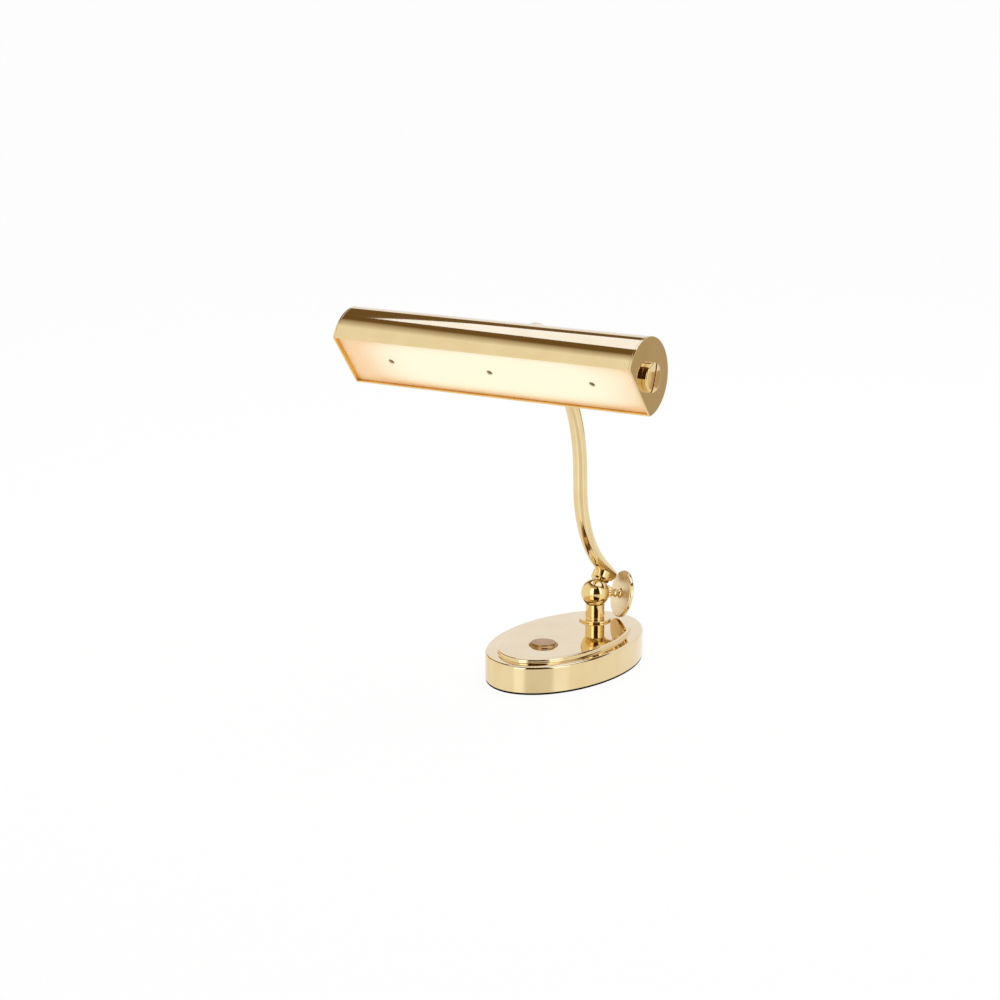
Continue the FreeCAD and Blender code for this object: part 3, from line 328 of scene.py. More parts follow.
sleeve_length = 8.5
sleeve_radius = 10.8
sleeve_bore = 10.05
bezel_bore = 9.7
bezel_radius = 11.35
bezel_height = 1.5
shoulder = sleeve_length - shell_wall
bezel_top = sleeve_length + bezel_height


def turn_on_lathe(name, outline, sides=128):
    """A piece turned about +Z from the (radius, height) corners of its outline, in millimetres."""
    bpy.ops.object.select_all(action="DESELECT")
    bpy.ops.mesh.primitive_plane_add(size=mm, location=(0, 0, 0))
    piece = bpy.context.object
    piece.name = name
    bpy.ops.object.mode_set(mode="EDIT")
    bpy.ops.mesh.select_mode(type="VERT")
    bpy.ops.mesh.merge(type="CENTER")
    bpy.ops.transform.translate(value=(outline[0][0] * mm, 0, outline[0][1] * mm))
    for (r0, z0), (r1, z1) in zip(outline, outline[1:]):
        bpy.ops.mesh.extrude_region_move(TRANSFORM_OT_translate={"value": ((r1 - r0) * mm, 0, (z1 - z0) * mm)})
    bpy.ops.mesh.select_all(action="SELECT")
    bpy.ops.mesh.spin(steps=sides, angle=math.tau, center=(0, 0, 0), axis=(0, 0, 1))
    bpy.ops.mesh.select_all(action="SELECT")
    bpy.ops.mesh.remove_doubles(threshold=0.002 * mm)
    bpy.ops.mesh.normals_make_consistent(inside=False)
    bpy.ops.object.mode_set(mode="OBJECT")
    return piece


def curve(centre_r, centre_z, radius, start, end, steps=8):
    """The corners of a round stretch of an outline, from one angle to another, in degrees from outward to up."""
    angles = [math.radians(start + (end - start) * step / steps) for step in range(steps + 1)]
    return [(centre_r + radius * math.cos(angle), centre_z + radius * math.sin(angle)) for angle in angles]


bezel = turn_on_lathe("switch_bezel_turned", [
    (sleeve_bore, 0), (sleeve_radius, 0), (sleeve_radius, sleeve_length),
    (bezel_radius, sleeve_length)]
    + curve(11.05, sleeve_length + 0.35, 0.3, 0, 50) + curve(9.9, bezel_top - 0.4, 0.4, 45, 90)
    + [(9.75, bezel_top), (bezel_bore, bezel_top - 0.1), (bezel_bore, shoulder), (sleeve_bore, shoulder),
       (sleeve_bore, 0)])
soften(bezel, 0.08)
satin_brass = polished_brass("satin_bronzed_brass", "#AC8348", "#BC955C", 0.2, 0.08)
sleeve_foot = deck_level - sleeve_length
fit(bezel, "base", "polished_brass", satin_brass, Matrix.Translation((0, switch_y, sleeve_foot * mm)), "switch_bezel")

button_radius = 9.6
button_top = 5.75
button_edge = 0.5
button_flange = 9.95
flange_top = 1.5
button_above_foot = 4.95
button = turn_on_lathe("switch_button_turned", [
    (0, 0), (button_flange, 0), (button_flange, flange_top), (button_radius, flange_top),
    (button_radius, button_top - button_edge)]
    + curve(button_radius - button_edge, button_top - button_edge, button_edge, 0, 80)
    + [(4.5, button_top + 0.03), (0, button_top + 0.05)])
soften(button, 0.1)
brushed = new_material("brushed_bronzed_brass")
tree = brushed.node_tree
lines = grain(tree, 0.5, 3, (1, 0.04, 1))
relief = add_node(tree, "Bump", Strength=0.25, Distance=0.05 * mm, Height=lines).outputs["Normal"]
shader = add_node(tree, "BsdfPrincipled", Base_Color=two_colours(tree, lines, "#9C6E2E", "#B4863C"), Metallic=1.0,
                  Roughness=0.2, Anisotropic=0.5, Normal=relief)
surface(tree, shader.outputs["BSDF"])
fit(button, "button", "satin_bronze", brushed,
    Matrix.Translation((0, switch_y, (sleeve_foot + button_above_foot) * mm)), "switch_button")

# Return spring: steel wire wound in four turns under the button, built at its height at rest
spring_low, spring_high = (Vector(corner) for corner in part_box("button_spring"))
wire = 0.8
coil_radius = 5.0
turns = 4
bpy.ops.object.select_all(action="DESELECT")
bpy.ops.mesh.primitive_circle_add(vertices=12, radius=wire / 2 * mm, location=(coil_radius * mm, 0, wire / 2 * mm),
                                  rotation=(math.radians(90), 0, 0))
bpy.ops.object.transform_apply(location=True, rotation=True, scale=True)
spring = bpy.context.object
spring.name = "return_spring_wound"
winding = spring.modifiers.new("winding", "SCREW")
winding.steps = winding.render_steps = 28
winding.iterations = turns
winding.screw_offset = ((spring_high - spring_low).z - wire * mm) / turns
bpy.ops.object.modifier_apply(modifier=winding.name)
bpy.ops.object.mode_set(mode="EDIT")
bpy.ops.mesh.select_mode(type="VERT")
bpy.ops.mesh.select_all(action="SELECT")
bpy.ops.mesh.remove_doubles(threshold=0.002 * mm)
bpy.ops.mesh.select_all(action="DESELECT")
bpy.ops.mesh.select_non_manifold()
bpy.ops.mesh.fill_holes(sides=0)
bpy.ops.mesh.select_all(action="SELECT")
bpy.ops.mesh.normals_make_consistent(inside=False)
bpy.ops.object.mode_set(mode="OBJECT")
bpy.ops.object.shade_smooth()
fit(spring, "base", "spring_steel", spring_steel, Matrix.Translation((0, switch_y, spring_low.z)), "button_spring")
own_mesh(spring)

# Column -------------------------------------------------------------------------------------------
# A turned brass post, screwed down through a flat flange, with a cup under the ball and a grooved
# spigot inside it. Turning leaves it rounder and deeper in colour than the spun shell.

turned_brass = polished_brass("turned_brass_mirror_polished", "#E5C785", "#ECD194", 0.04, 0.03)
ball_height = ball_centre.z / mm
ball_radius = 11.25
cup_radius = ball_radius + 0.3
flange_thickness = 1.6
flange_radius = 12.5
flange = turn_on_lathe("foot_flange_turned", [
    (column_hole, 0), (flange_radius - 0.2, 0), (flange_radius, 0.2), (flange_radius, 0.9)]
    + curve(11.9, 1.0, 0.6, 10, 90)
    + [(8.2, flange_thickness), (column_hole, flange_thickness), (column_hole, 0)])
soften(flange, 0.08)
fit(flange, "base", "polished_brass", turned_brass, Matrix.Translation((0, column_y, deck_level * mm)),
    "foot_flange")

column_radius = 7.5
column_bore = 3.0
nipple_radius = 5.0
nipple_length = 9.0
spigot_radius = 5.5
spigot_groove = 4.6
nipple_foot = deck_level - nipple_length
ball_up = ball_height - nipple_foot
seat = nipple_length + flange_thickness
cup_angle_outer = -math.degrees(math.acos(column_radius / cup_radius))
cup_angle_inner = -math.degrees(math.acos(spigot_radius / cup_radius))
column = turn_on_lathe("column_turned", [
    (column_bore, 0), (nipple_radius, 0), (nipple_radius, seat), (column_radius, seat), (column_radius, seat + 0.6),
    (column_radius - 0.3, seat + 1.0), (column_radius - 0.3, seat + 1.4), (column_radius, seat + 1.8)]
    + curve(0, ball_up, cup_radius, cup_angle_outer, cup_angle_inner, 6)
    + [(spigot_radius, ball_up - 9.0), (spigot_groove, ball_up - 9.0), (spigot_groove, ball_up - 6.8),
       (spigot_radius, ball_up - 6.8), (spigot_radius, ball_up - 6.0), (column_bore, ball_up - 6.0),
       (column_bore, 0)])
soften(column, 0.12)
fit(column, "base", "polished_brass", turned_brass, Matrix.Translation((0, column_y, nipple_foot * mm)), "column")

# Ball joint ---------------------------------------------------------------------------------------
# A brass ball, bored from below for the column's spigot and slotted above for the neck of the arm's
# stud. A milled ring on the clamp screw bears on a flat at its side.

ball_housing = turn_on_lathe("ball_housing_turned", curve(0, 0, 5.55, 90, 0, 12)
                             + curve(0, 0, ball_radius, -60.44, 90, 48) + [(0, 5.55)], 160)
slot_half = 2.7
slot_reach_up = 13
stud_lean = math.radians(39.0)
lean_forward = math.radians(30.0)
lean_back = math.radians(2.0)
for lean in (stud_lean + lean_back, stud_lean - lean_forward):
    drill(ball_housing, slot_half, slot_reach_up, Matrix.Rotation(-lean, 4, "X"))
bpy.ops.mesh.primitive_plane_add(size=1)
slot_cutter = bpy.context.object
slot_cutter.data.transform(Matrix.Translation((0, 0, slot_reach_up / 2 * mm))
                           @ Matrix.Diagonal((slot_half * 2 * mm, 1, slot_reach_up * mm, 1))
                           @ Matrix.Rotation(math.radians(90), 4, "X"))
slot_cutter.data.transform(Matrix.Rotation(-stud_lean - lean_back, 4, "X"))
bpy.ops.object.mode_set(mode="EDIT")
bpy.ops.mesh.select_all(action="SELECT")
bpy.ops.mesh.spin(steps=8, angle=lean_forward + lean_back, center=(0, 0, 0), axis=(-1, 0, 0))
bpy.ops.mesh.select_all(action="SELECT")
bpy.ops.mesh.remove_doubles(threshold=0.001 * mm)
bpy.ops.mesh.normals_make_consistent(inside=False)
bpy.ops.object.mode_set(mode="OBJECT")
cut_away(ball_housing, slot_cutter)

knob_foot = Vector(joints["knob_turn"]["pos_m"])
knob_axis = Vector(joints["knob_turn"]["axis"])
knob_place = Matrix.Translation(knob_foot) @ knob_axis.to_track_quat("Z", "Y").to_matrix().to_4x4()
ball_place = Matrix.Translation(ball_centre)
ring_radius = 5.0
ring_thickness = 3.0
ring_foot = math.sqrt(ball_radius ** 2 - (ring_radius + (knob_foot - ball_centre).length / mm) ** 2)
screw_hole = 2.5
drill(ball_housing, screw_hole, 14, ball_place.inverted() @ knob_place)
drill(ball_housing, ring_radius + 0.15, 6,
      ball_place.inverted() @ knob_place @ Matrix.Translation((0, 0, ring_foot * mm)))
soften(ball_housing, 0.1, 2)
fit(ball_housing, "ball_joint", "polished_brass", turned_brass, ball_place, "ball_housing")


milled_sides = 40


def mill(piece, teeth_radius, depth, low, high):
    """Mills a straight knurl: every other edge of the rim between two heights goes in by depth."""
    select_only(piece)
    bpy.ops.object.mode_set(mode="EDIT")
    bpy.ops.mesh.select_mode(type="VERT")
    bpy.ops.mesh.select_all(action="DESELECT")
    bpy.ops.object.mode_set(mode="OBJECT")
    for corner in piece.data.vertices:
        around = round(math.atan2(corner.co.y, corner.co.x) / math.tau * milled_sides)
        on_rim = abs(math.hypot(corner.co.x, corner.co.y) - teeth_radius * mm) < 0.12 * mm
        corner.select = on_rim and around % 2 == 0 and low * mm < corner.co.z < high * mm
    bpy.ops.object.mode_set(mode="EDIT")
    shrink = 1 - depth / teeth_radius
    bpy.ops.transform.resize(value=(shrink, shrink, 1), center_override=(0, 0, 0))
    bpy.ops.object.mode_set(mode="OBJECT")


clamp_ring = turn_on_lathe("clamp_ring_milled", [
    (screw_hole, 0), (ring_radius - 0.3, 0), (ring_radius, 0.3), (ring_radius, ring_thickness - 0.3),
    (ring_radius - 0.3, ring_thickness), (screw_hole, ring_thickness), (screw_hole, 0)], milled_sides)
mill(clamp_ring, ring_radius, 0.45, 0.2, ring_thickness - 0.2)
soften(clamp_ring, 0.06, 2)
fit(clamp_ring, "ball_joint", "polished_brass", turned_brass,
    knob_place @ Matrix.Translation((0, 0, ring_foot * mm)), "clamp_ring")

# Clamp knob ---------------------------------------------------------------------------------------
# A turned spindle with a rounded hub and a milled bead, flared into a flat disc that is riveted on.
# The disc is the grip: its flat faces are lapped to a satin, and its well rounded rim is polished.

spindle_start = 5.6
spindle_radius = 2.45
waist_radius = 2.6
hub_start = ring_foot + ring_thickness + 0.15
hub_end = hub_start + 2.9
disc_start = 21.2
disc_thickness = 3.5
disc_radius = 18.7
bead = hub_end + 2.2
bead_radius = 3.4
spindle = turn_on_lathe("clamp_spindle_turned", [
    (0, spindle_start), (1.5, spindle_start), (1.5, 8.2), (spindle_radius, 8.2), (spindle_radius, hub_start),
    (3.0, hub_start)]
    + curve(2.4, hub_start + 1.2, 1.2, -60, 60, 8)
    + [(waist_radius, hub_end), (waist_radius, hub_end + 0.9),
       (bead_radius - 0.3, bead - 0.7), (bead_radius, bead - 0.4), (bead_radius, bead + 0.4),
       (bead_radius - 0.3, bead + 0.7), (waist_radius, bead + 1.3), (2.7, bead + 2.2),
       (3.1, disc_start - 1.0), (3.8, disc_start - 0.4), (4.6, disc_start),
       (spindle_radius, disc_start), (spindle_radius, disc_start + disc_thickness),
       (3.9, disc_start + disc_thickness)]
    + curve(0, disc_start + 1.5, 4.4, 27, 90, 8), milled_sides)
mill(spindle, bead_radius, 0.3, bead - 0.5, bead + 0.5)
soften(spindle, 0.06, 2)
fit(spindle, "knob", "polished_brass", turned_brass, knob_place, "clamp_spindle")

edge = 1.2
disc = turn_on_lathe("clamp_disc_turned", [(spindle_radius, 0), (disc_radius - edge, 0)]
                     + curve(disc_radius - edge, edge, edge, -75, 0, 5)
                     + curve(disc_radius - edge, disc_thickness - edge, edge, 0, 75, 5)
                     + [(disc_radius - edge, disc_thickness), (spindle_radius, disc_thickness),
                        (spindle_radius, 0)], 160)
soften(disc, 0.06, 2)
fit(disc, "knob", "polished_brass", shell_brass, knob_place @ Matrix.Translation((0, 0, disc_start * mm)),
    "clamp_disc")
lapped_brass = polished_brass("lapped_brass_satin", "#F0DBAE", "#F6E5BE", 0.42, 0.06)
refinish(disc, lapped_brass, lambda centre, normal: abs(normal.dot(knob_axis)) > 0.98)

# Arm ----------------------------------------------------------------------------------------------
# A drawn brass tube, bent cold in one plane in three bends, on a collar that is saddled to its underside.
# A hollow stud with a small ball of its own carries the collar, and a domed plug closes the lower end.

arm_radius = 5.5
tube_wall = 1.0
arm_reach = 22.1
tail_length = 13.2
neck_radius = 2.5
collar_foot = 11.6
collar_top = 18.0
collar_radius = 7.5
stud_place = Matrix.Translation(ball_centre) @ Matrix.Rotation(-stud_lean, 4, "X")
stud = turn_on_lathe("ball_stud_turned", curve(0, 0, 5.5, -90, 63, 24)
                     + [(neck_radius, collar_top - 0.1), (0, collar_top - 0.1)], 64)
soften(stud, 0.1, 2)
fit(stud, "arm", "turned_brass", turned_brass, stud_place, "ball_stud")

collar = turn_on_lathe("arm_collar_turned", [
    (neck_radius, collar_foot), (collar_radius - 0.5, collar_foot), (collar_radius, collar_foot + 0.5),
    (collar_radius, collar_top - 0.5), (collar_radius - 0.5, collar_top), (neck_radius, collar_top),
    (neck_radius, collar_foot)], 96)
along_tube = Matrix.Translation((0, 15 * mm, arm_reach * mm)) @ Matrix.Rotation(math.radians(90), 4, "X")
drill(collar, arm_radius, 30, along_tube)
soften(collar, 0.1, 2)
fit(collar, "arm", "polished_brass", turned_brass, stud_place, "arm_collar")

# Each straight run's length, then the radius and angle of the bend after it
straight_then_bend = [(tail_length + 6.0, 93.0, -49.5), (14.0, 125.0, 33.5), (48.3, 27.1, 72.3)]
top_straight = 45.1
hub_reach = 9.0
heading = math.radians(90) - stud_lean


def ahead():
    """The way that the tube runs where it has got to."""
    return Vector((0, -math.sin(heading), math.cos(heading)))


foot = stud_place @ Vector((0, tail_length * mm, arm_reach * mm))
bpy.ops.object.select_all(action="DESELECT")
bpy.ops.mesh.primitive_circle_add(vertices=64, radius=arm_radius * mm, location=foot,
                                  rotation=ahead().to_track_quat("Z", "X").to_euler())
tube = bpy.context.object
tube.name = "arm_tube_bent"
bpy.ops.object.transform_apply(location=True, rotation=True, scale=True)
bpy.ops.object.mode_set(mode="EDIT")
bpy.ops.mesh.select_all(action="SELECT")
point = foot
for straight, bend_radius, bend_angle in straight_then_bend:
    bpy.ops.mesh.extrude_region_move(TRANSFORM_OT_translate={"value": ahead() * straight * mm})
    point = point + ahead() * straight * mm
    side = Vector((0, -math.cos(heading), -math.sin(heading))) * math.copysign(1, bend_angle)
    bend_centre = point + side * bend_radius * mm
    turn = math.radians(bend_angle)
    bpy.ops.mesh.spin(steps=32, angle=abs(turn), center=bend_centre, axis=(-math.copysign(1, turn), 0, 0))
    point = bend_centre + Matrix.Rotation(turn, 3, "X") @ (point - bend_centre)
    heading += turn
bpy.ops.mesh.extrude_region_move(TRANSFORM_OT_translate={"value": ahead() * (top_straight - hub_reach) * mm})
bpy.ops.mesh.select_all(action="SELECT")
bpy.ops.mesh.remove_doubles(threshold=0.002 * mm)
bpy.ops.mesh.normals_make_consistent(inside=False)
bpy.ops.object.mode_set(mode="OBJECT")
select_only(tube)
wall = tube.modifiers.new("wall", "SOLIDIFY")
wall.thickness = tube_wall * mm
wall.offset = -1
bpy.ops.object.modifier_apply(modifier=wall.name)
soften(tube, 0.15, 2)
tube_brass = polished_brass("drawn_brass_tube_polished", "#E4CA95", "#EAD3A2", 0.05, 0.03)
fit(tube, "arm", "polished_brass", tube_brass, here, "arm_tube")

plug_length = 4.0
plug_radius = arm_radius - tube_wall
tail_plug = turn_on_lathe("arm_tail_plug_turned", [
    (0, -plug_length), (plug_radius, -plug_length), (plug_radius, 0), (arm_radius, 0), (arm_radius, 0.3)]
    + curve(0, -6.6, 8.6, 53, 90, 8), 64)
soften(tail_plug, 0.08, 2)
fit(tail_plug, "arm", "polished_brass", turned_brass,
    stud_place @ Matrix.Translation((0, tail_length * mm, arm_reach * mm)) @ rearward, "arm_tail_plug")

# Shade --------------------------------------------------------------------------------------------
# Sheet brass rolled to a part circle, with flat caps brazed into its ends and a slot behind for the arm.
# It is polished outside, so its long reflections run straight from cap to cap, and left as rolled within,
# where its colour is painted a deeper gold, a painted reflection of the light that bounces between its walls.

shade_centre = Vector(joints["shade_turn"]["pos_m"])
shade_length = 250.0
shade_radius = 28.8
sheet_thickness = 1.0
cap_thickness = 1.5
cap_hole = 3.0
opening_angle = 113.6
facing = 180.0 + 38.2
low_lip = facing + opening_angle / 2
arm_angle = math.degrees(heading) - 90
turn_up, turn_down = 25.0, 40.0
slot_half_width = arm_radius + 0.4
lip_offset = shade_radius * math.cos(math.radians(opening_angle / 2))
shell_half = (shade_length / 2 - cap_thickness) * mm
shade_place = Matrix.Translation(shade_centre)

shell_steps = 144
bpy.ops.object.select_all(action="DESELECT")
bpy.ops.mesh.primitive_plane_add(size=mm, location=(0, 0, 0))
shell = bpy.context.object
shell.name = "shade_shell_rolled"
bpy.ops.object.mode_set(mode="EDIT")
bpy.ops.mesh.merge(type="CENTER")
lip_angle = math.radians(low_lip)
lip = Vector((-shell_half, shade_radius * math.cos(lip_angle) * mm, shade_radius * math.sin(lip_angle) * mm))
bpy.ops.transform.translate(value=lip)
for along in (shell_half - slot_half_width * mm, slot_half_width * 2 * mm, shell_half - slot_half_width * mm):
    bpy.ops.mesh.extrude_region_move(TRANSFORM_OT_translate={"value": (along, 0, 0)})
bpy.ops.mesh.select_all(action="SELECT")
bpy.ops.mesh.spin(steps=shell_steps, angle=math.radians(360 - opening_angle), center=(0, 0, 0), axis=(-1, 0, 0))
slot_centre = arm_angle - (turn_down - turn_up) / 2
slot_end_room = 1.5  # degrees past the tube at each end of its travel
slot_reach = (turn_down + turn_up) / 2 + math.degrees(slot_half_width / shade_radius) + slot_end_room


def in_arm_slot(centre, normal):
    """Whether a face of the shell is within the slot, by its angle round the shade."""
    around = math.degrees(math.atan2(centre.z, centre.y)) - slot_centre
    return abs(centre.x) < slot_half_width * mm and abs((around + 180) % 360 - 180) < slot_reach


select_faces(shell, in_arm_slot)
bpy.ops.mesh.delete(type="FACE")
bpy.ops.mesh.select_all(action="SELECT")
bpy.ops.mesh.normals_make_consistent(inside=False)
bpy.ops.object.mode_set(mode="OBJECT")
select_only(shell)
if shell.data.polygons[0].normal.dot(shell.data.polygons[0].center) < 0:
    shell.data.flip_normals()
rolled = shell.modifiers.new("sheet", "SOLIDIFY")
rolled.thickness = sheet_thickness * mm
rolled.offset = -1
bpy.ops.object.modifier_apply(modifier=rolled.name)
soften(shell, 0.2, 3)
fit(shell, "shade", "polished_brass", shell_brass, shade_place, "shade_shell")
# Painted light: the inside faces get a deeper gold, standing in for light bouncing within the shade
inner_brass_painted_gold = polished_brass("rolled_brass_mill_finish", "#EDBB48", "#FBD872", 0.2, 0.15)


def faces_inward(centre, normal):
    """Whether a face of the shell looks in towards its axis."""
    outward = (centre - shade_centre) * Vector((0, 1, 1))
    return normal.dot(outward.normalized()) < -0.5


refinish(shell, inner_brass_painted_gold, faces_inward)

for side_name, side in (("left", -1), ("right", 1)):
    outward = Matrix.Rotation(math.radians(90 * side), 4, "Y")
    cap = turn_on_lathe("end_cap_" + side_name + "_cut", [
        (cap_hole, 0), (shade_radius, 0), (shade_radius, cap_thickness), (cap_hole, cap_thickness),
        (cap_hole, 0)], 192)
    cap.data.transform(outward)
    select_only(cap)
    bpy.ops.object.mode_set(mode="EDIT")
    bpy.ops.mesh.select_all(action="SELECT")
    toward_light = Vector((0, math.cos(math.radians(facing)), math.sin(math.radians(facing))))
    bpy.ops.mesh.bisect(plane_co=toward_light * lip_offset * mm, plane_no=toward_light, use_fill=True,
                        clear_outer=True)
    bpy.ops.object.mode_set(mode="OBJECT")
    soften(cap, 0.25, 3)
    fit(cap, "shade", "polished_brass", shell_brass,
        shade_place @ Matrix.Translation((side * shell_half, 0, 0)), "end_cap_" + side_name)
    # The cap's inner face gets the same painted deeper gold
    refinish(cap, inner_brass_painted_gold, lambda centre, normal: normal.x * side < -0.9)

# End screws ---------------------------------------------------------------------------------------
# Broad slotted cheese heads, turned and polished, whose shanks screw into the rod through the caps.
# They hold the shade on its rod, and stay with the arm when the shade turns.

head_start = shade_length / 2 + 0.05
shank_length = 14.0
shank_radius = 2.95
head_radius = 10.7
head_height = 4.8
head_round = 1.2
face_edge = 4.3
face_radius = 90.0  # of the face's low dome
slot_width = 1.8
slot_depth = 2.0
slot_lean = 20.0
for side_name, side in (("left", -1), ("right", 1)):
    outward = Matrix.Rotation(math.radians(90 * side), 4, "Y")
    screw = turn_on_lathe("end_screw_" + side_name + "_turned", [
        (0, -shank_length), (shank_radius, -shank_length), (shank_radius, 0), (head_radius - 0.2, 0),
        (head_radius, 0.2)]
        + curve(head_radius - head_round, face_edge - head_round, head_round, 0, 84, 6)
        + curve(0, head_height - face_radius, face_radius, 84, 90, 4))
    bpy.ops.mesh.primitive_cube_add(size=1)
    saw = bpy.context.object
    saw.data.transform(Matrix.Rotation(math.radians(-slot_lean), 4, "Z")
                       @ Matrix.Translation((0, 0, (head_height - slot_depth + 5) * mm))
                       @ Matrix.Diagonal((30 * mm, slot_width * mm, 10 * mm, 1)))
    cut_away(screw, saw)
    soften(screw, 0.12, 2)
    fit(screw, "arm", "polished_brass", turned_brass,
        shade_place @ Matrix.Translation((side * head_start * mm, 0, 0)) @ outward, "end_screw_" + side_name)

# Panel --------------------------------------------------------------------------------------------
# Opal acrylic, cut to drop between the lips, with three counterbored holes on its centre line.
# The strip behind it is lit: the sheet glows a warm white, which turns to peach at its ends and edges.

light_place = shade_place @ Matrix.Rotation(math.radians(facing - 90), 4, "X")
panel_recess = 3.4
panel_thickness = 2.0
panel_gap = 0.15
panel_face = lip_offset - panel_recess
panel_half_width = math.sqrt((shade_radius - sheet_thickness) ** 2 - panel_face ** 2) - panel_gap
bpy.ops.object.select_all(action="DESELECT")
bpy.ops.mesh.primitive_plane_add(size=1)
panel = bpy.context.object
panel.name = "diffuser_panel_cut"
panel.data.transform(Matrix.Diagonal((shell_half * 2, panel_half_width * 2 * mm, 1, 1)))
bpy.ops.object.mode_set(mode="EDIT")
bpy.ops.mesh.select_all(action="SELECT")
bpy.ops.mesh.extrude_region_move(TRANSFORM_OT_translate={"value": (0, 0, panel_thickness * mm)})
bpy.ops.mesh.select_all(action="SELECT")
bpy.ops.mesh.normals_make_consistent(inside=False)
bpy.ops.object.mode_set(mode="OBJECT")
screw_pitch = 85.0
screw_clearance = 1.4
screw_counterbore = 2.45
screw_seat = 0.8  # above the panel's rear face
for place in (-1, 0, 1):
    drill(panel, screw_clearance, 6, Matrix.Translation((place * screw_pitch * mm, 0, -2 * mm)))
    drill(panel, screw_counterbore, 4, Matrix.Translation((place * screw_pitch * mm, 0, screw_seat * mm)))
soften(panel, 0.2, 3)
opal = new_material("opal_acrylic_lit")
tree = opal.node_tree


def maths(tree, operation, *values):
    """Works out one sum of values or sockets, and gives its Value socket."""
    inputs = {"in%d" % number: value for number, value in enumerate(values)}
    return add_node(tree, "Math", {"operation": operation}, **inputs).outputs["Value"]


place = add_node(tree, "TexCoord").outputs["Object"]
brightest = light_place @ Vector((8 * mm, 0, 0))  # the strip is brightest a little to one side of the middle
centred = add_node(tree, "Mapping", {"vector_type": "TEXTURE"}, Vector=place, Location=brightest,
                   Rotation=light_place.to_euler(),
                   Scale=(shell_half, panel_half_width * mm, 1)).outputs["Vector"]
spread = add_node(tree, "SeparateXYZ", Vector=centred)
far_along = maths(tree, "POWER", maths(tree, "ABSOLUTE", spread.outputs["X"]), 4.0)
far_across = maths(tree, "POWER", maths(tree, "ABSOLUTE", spread.outputs["Y"]), 5.0)
edge_fall = maths(tree, "ADD", far_along, far_across)
clouded = maths(tree, "MULTIPLY_ADD", grain(tree, 40, 2), 0.25, edge_fall)
glow = two_colours(tree, clouded, "#FFFBD6", "#F2C796", 0.25, 1.7)
# Painted light: the sheet's own colour also turns peach towards its ends and edges, after the glow of the strip
body_colour_painted_falloff = two_colours(tree, clouded, "#F7F1D6", "#F0CFA4", 0.25, 1.7)
milky = add_node(tree, "Bump", Strength=0.05, Distance=0.02 * mm, Height=grain(tree, 1.5, 3)).outputs["Normal"]
shader = add_node(tree, "BsdfPrincipled", Base_Color=body_colour_painted_falloff, Roughness=0.35, Normal=milky,
                  Emission_Color=glow, Emission_Strength=0.2)
surface(tree, shader.outputs["BSDF"])
panel_rear = panel_face - panel_thickness
fit(panel, "shade", "opal_plastic", opal, light_place @ Matrix.Translation((0, 0, panel_rear * mm)), "diffuser_panel")

# Panel screws: small brass pan heads sunk in the panel, one at each hole, painted dark brown to stand in for the
# shade and dark reflections in their counterbores
bronzed_brass = stock("bronzed_brass_screw", "#7A6040", "#A08052", 0.3, 1.0, 1.0)
thread_radius = 1.25
thread_length = 4.5
pan_radius = 2.3
for number, place in enumerate((-1, 0, 1)):
    small_screw = turn_on_lathe("panel_screw_%d_turned" % (number + 1), [
        (0, -thread_length), (thread_radius, -thread_length), (thread_radius, 0), (pan_radius, 0),
        (pan_radius, 0.25)]
        + curve(0, -3.6, 4.5, 58, 90, 5), 48)
    bpy.ops.mesh.primitive_cube_add(size=1)
    saw = bpy.context.object
    saw.data.transform(Matrix.Rotation(math.radians(35), 4, "Z") @ Matrix.Translation((0, 0, 1.3 * mm))
                       @ Matrix.Diagonal((6 * mm, 0.7 * mm, 2 * mm, 1)))
    cut_away(small_screw, saw)
    soften(small_screw, 0.05, 2)
    fit(small_screw, "shade", "polished_brass", bronzed_brass,
        light_place @ Matrix.Translation((place * screw_pitch * mm, 0, (panel_rear + screw_seat) * mm)),
        "panel_screws")

# Studio -------------------------------------------------------------------------------------------
# A white satin table that runs to a white surround, with an octagonal soft box above. Reflections also
# see the dull ceiling, the walls behind, two strip lights, the dark camera side and the floor beyond.

bpy.ops.mesh.primitive_plane_add(size=60.0, location=(0, 0, 0))
table = bpy.context.object
table.name = "studio_table"
white_laminate = new_material("white_satin_laminate")
tree = white_laminate.node_tree
seen = add_node(tree, "LightPath")
camera_ray = seen.outputs["Is Camera Ray"]
glossy_ray = maths(tree, "MAXIMUM", seen.outputs["Is Glossy Ray"], seen.outputs["Is Transmission Ray"])
matt = add_node(tree, "BsdfDiffuse", Color=linear("#F6F5F3")).outputs["BSDF"]
glow = add_node(tree, "Emission", Color=linear("#FFFFFF"), Strength=1.0).outputs["Emission"]
sheen = add_node(tree, "BsdfGlossy", Color=linear("#FFFFFF"), Roughness=0.25).outputs["BSDF"]
lifted = maths(tree, "MULTIPLY", camera_ray, 0.92)
table_white = add_node(tree, "MixShader", in0=lifted, in1=matt, in2=glow).outputs["Shader"]
satin = add_node(tree, "MixShader", in0=0.18, in1=glow, in2=sheen).outputs["Shader"]
mixed = add_node(tree, "MixShader", in0=glossy_ray, in1=table_white, in2=satin)
surface(tree, mixed.outputs["Shader"])
table.data.materials.append(white_laminate)

world = bpy.data.worlds.new("studio_surround")
bpy.context.scene.world = world
world.use_nodes = True
tree = world.node_tree
seen = add_node(tree, "LightPath")
shown = maths(tree, "MAXIMUM", seen.outputs["Is Camera Ray"], seen.outputs["Is Glossy Ray"])
shown = maths(tree, "MAXIMUM", shown, seen.outputs["Is Transmission Ray"])
strength = add_node(tree, "MapRange", Value=shown, in3=0.85, in4=1.0).outputs["Result"]
tree.links.new(strength, tree.nodes["Background"].inputs["Strength"])
tree.nodes["Background"].inputs["Color"].default_value = linear("#FFFFFF")


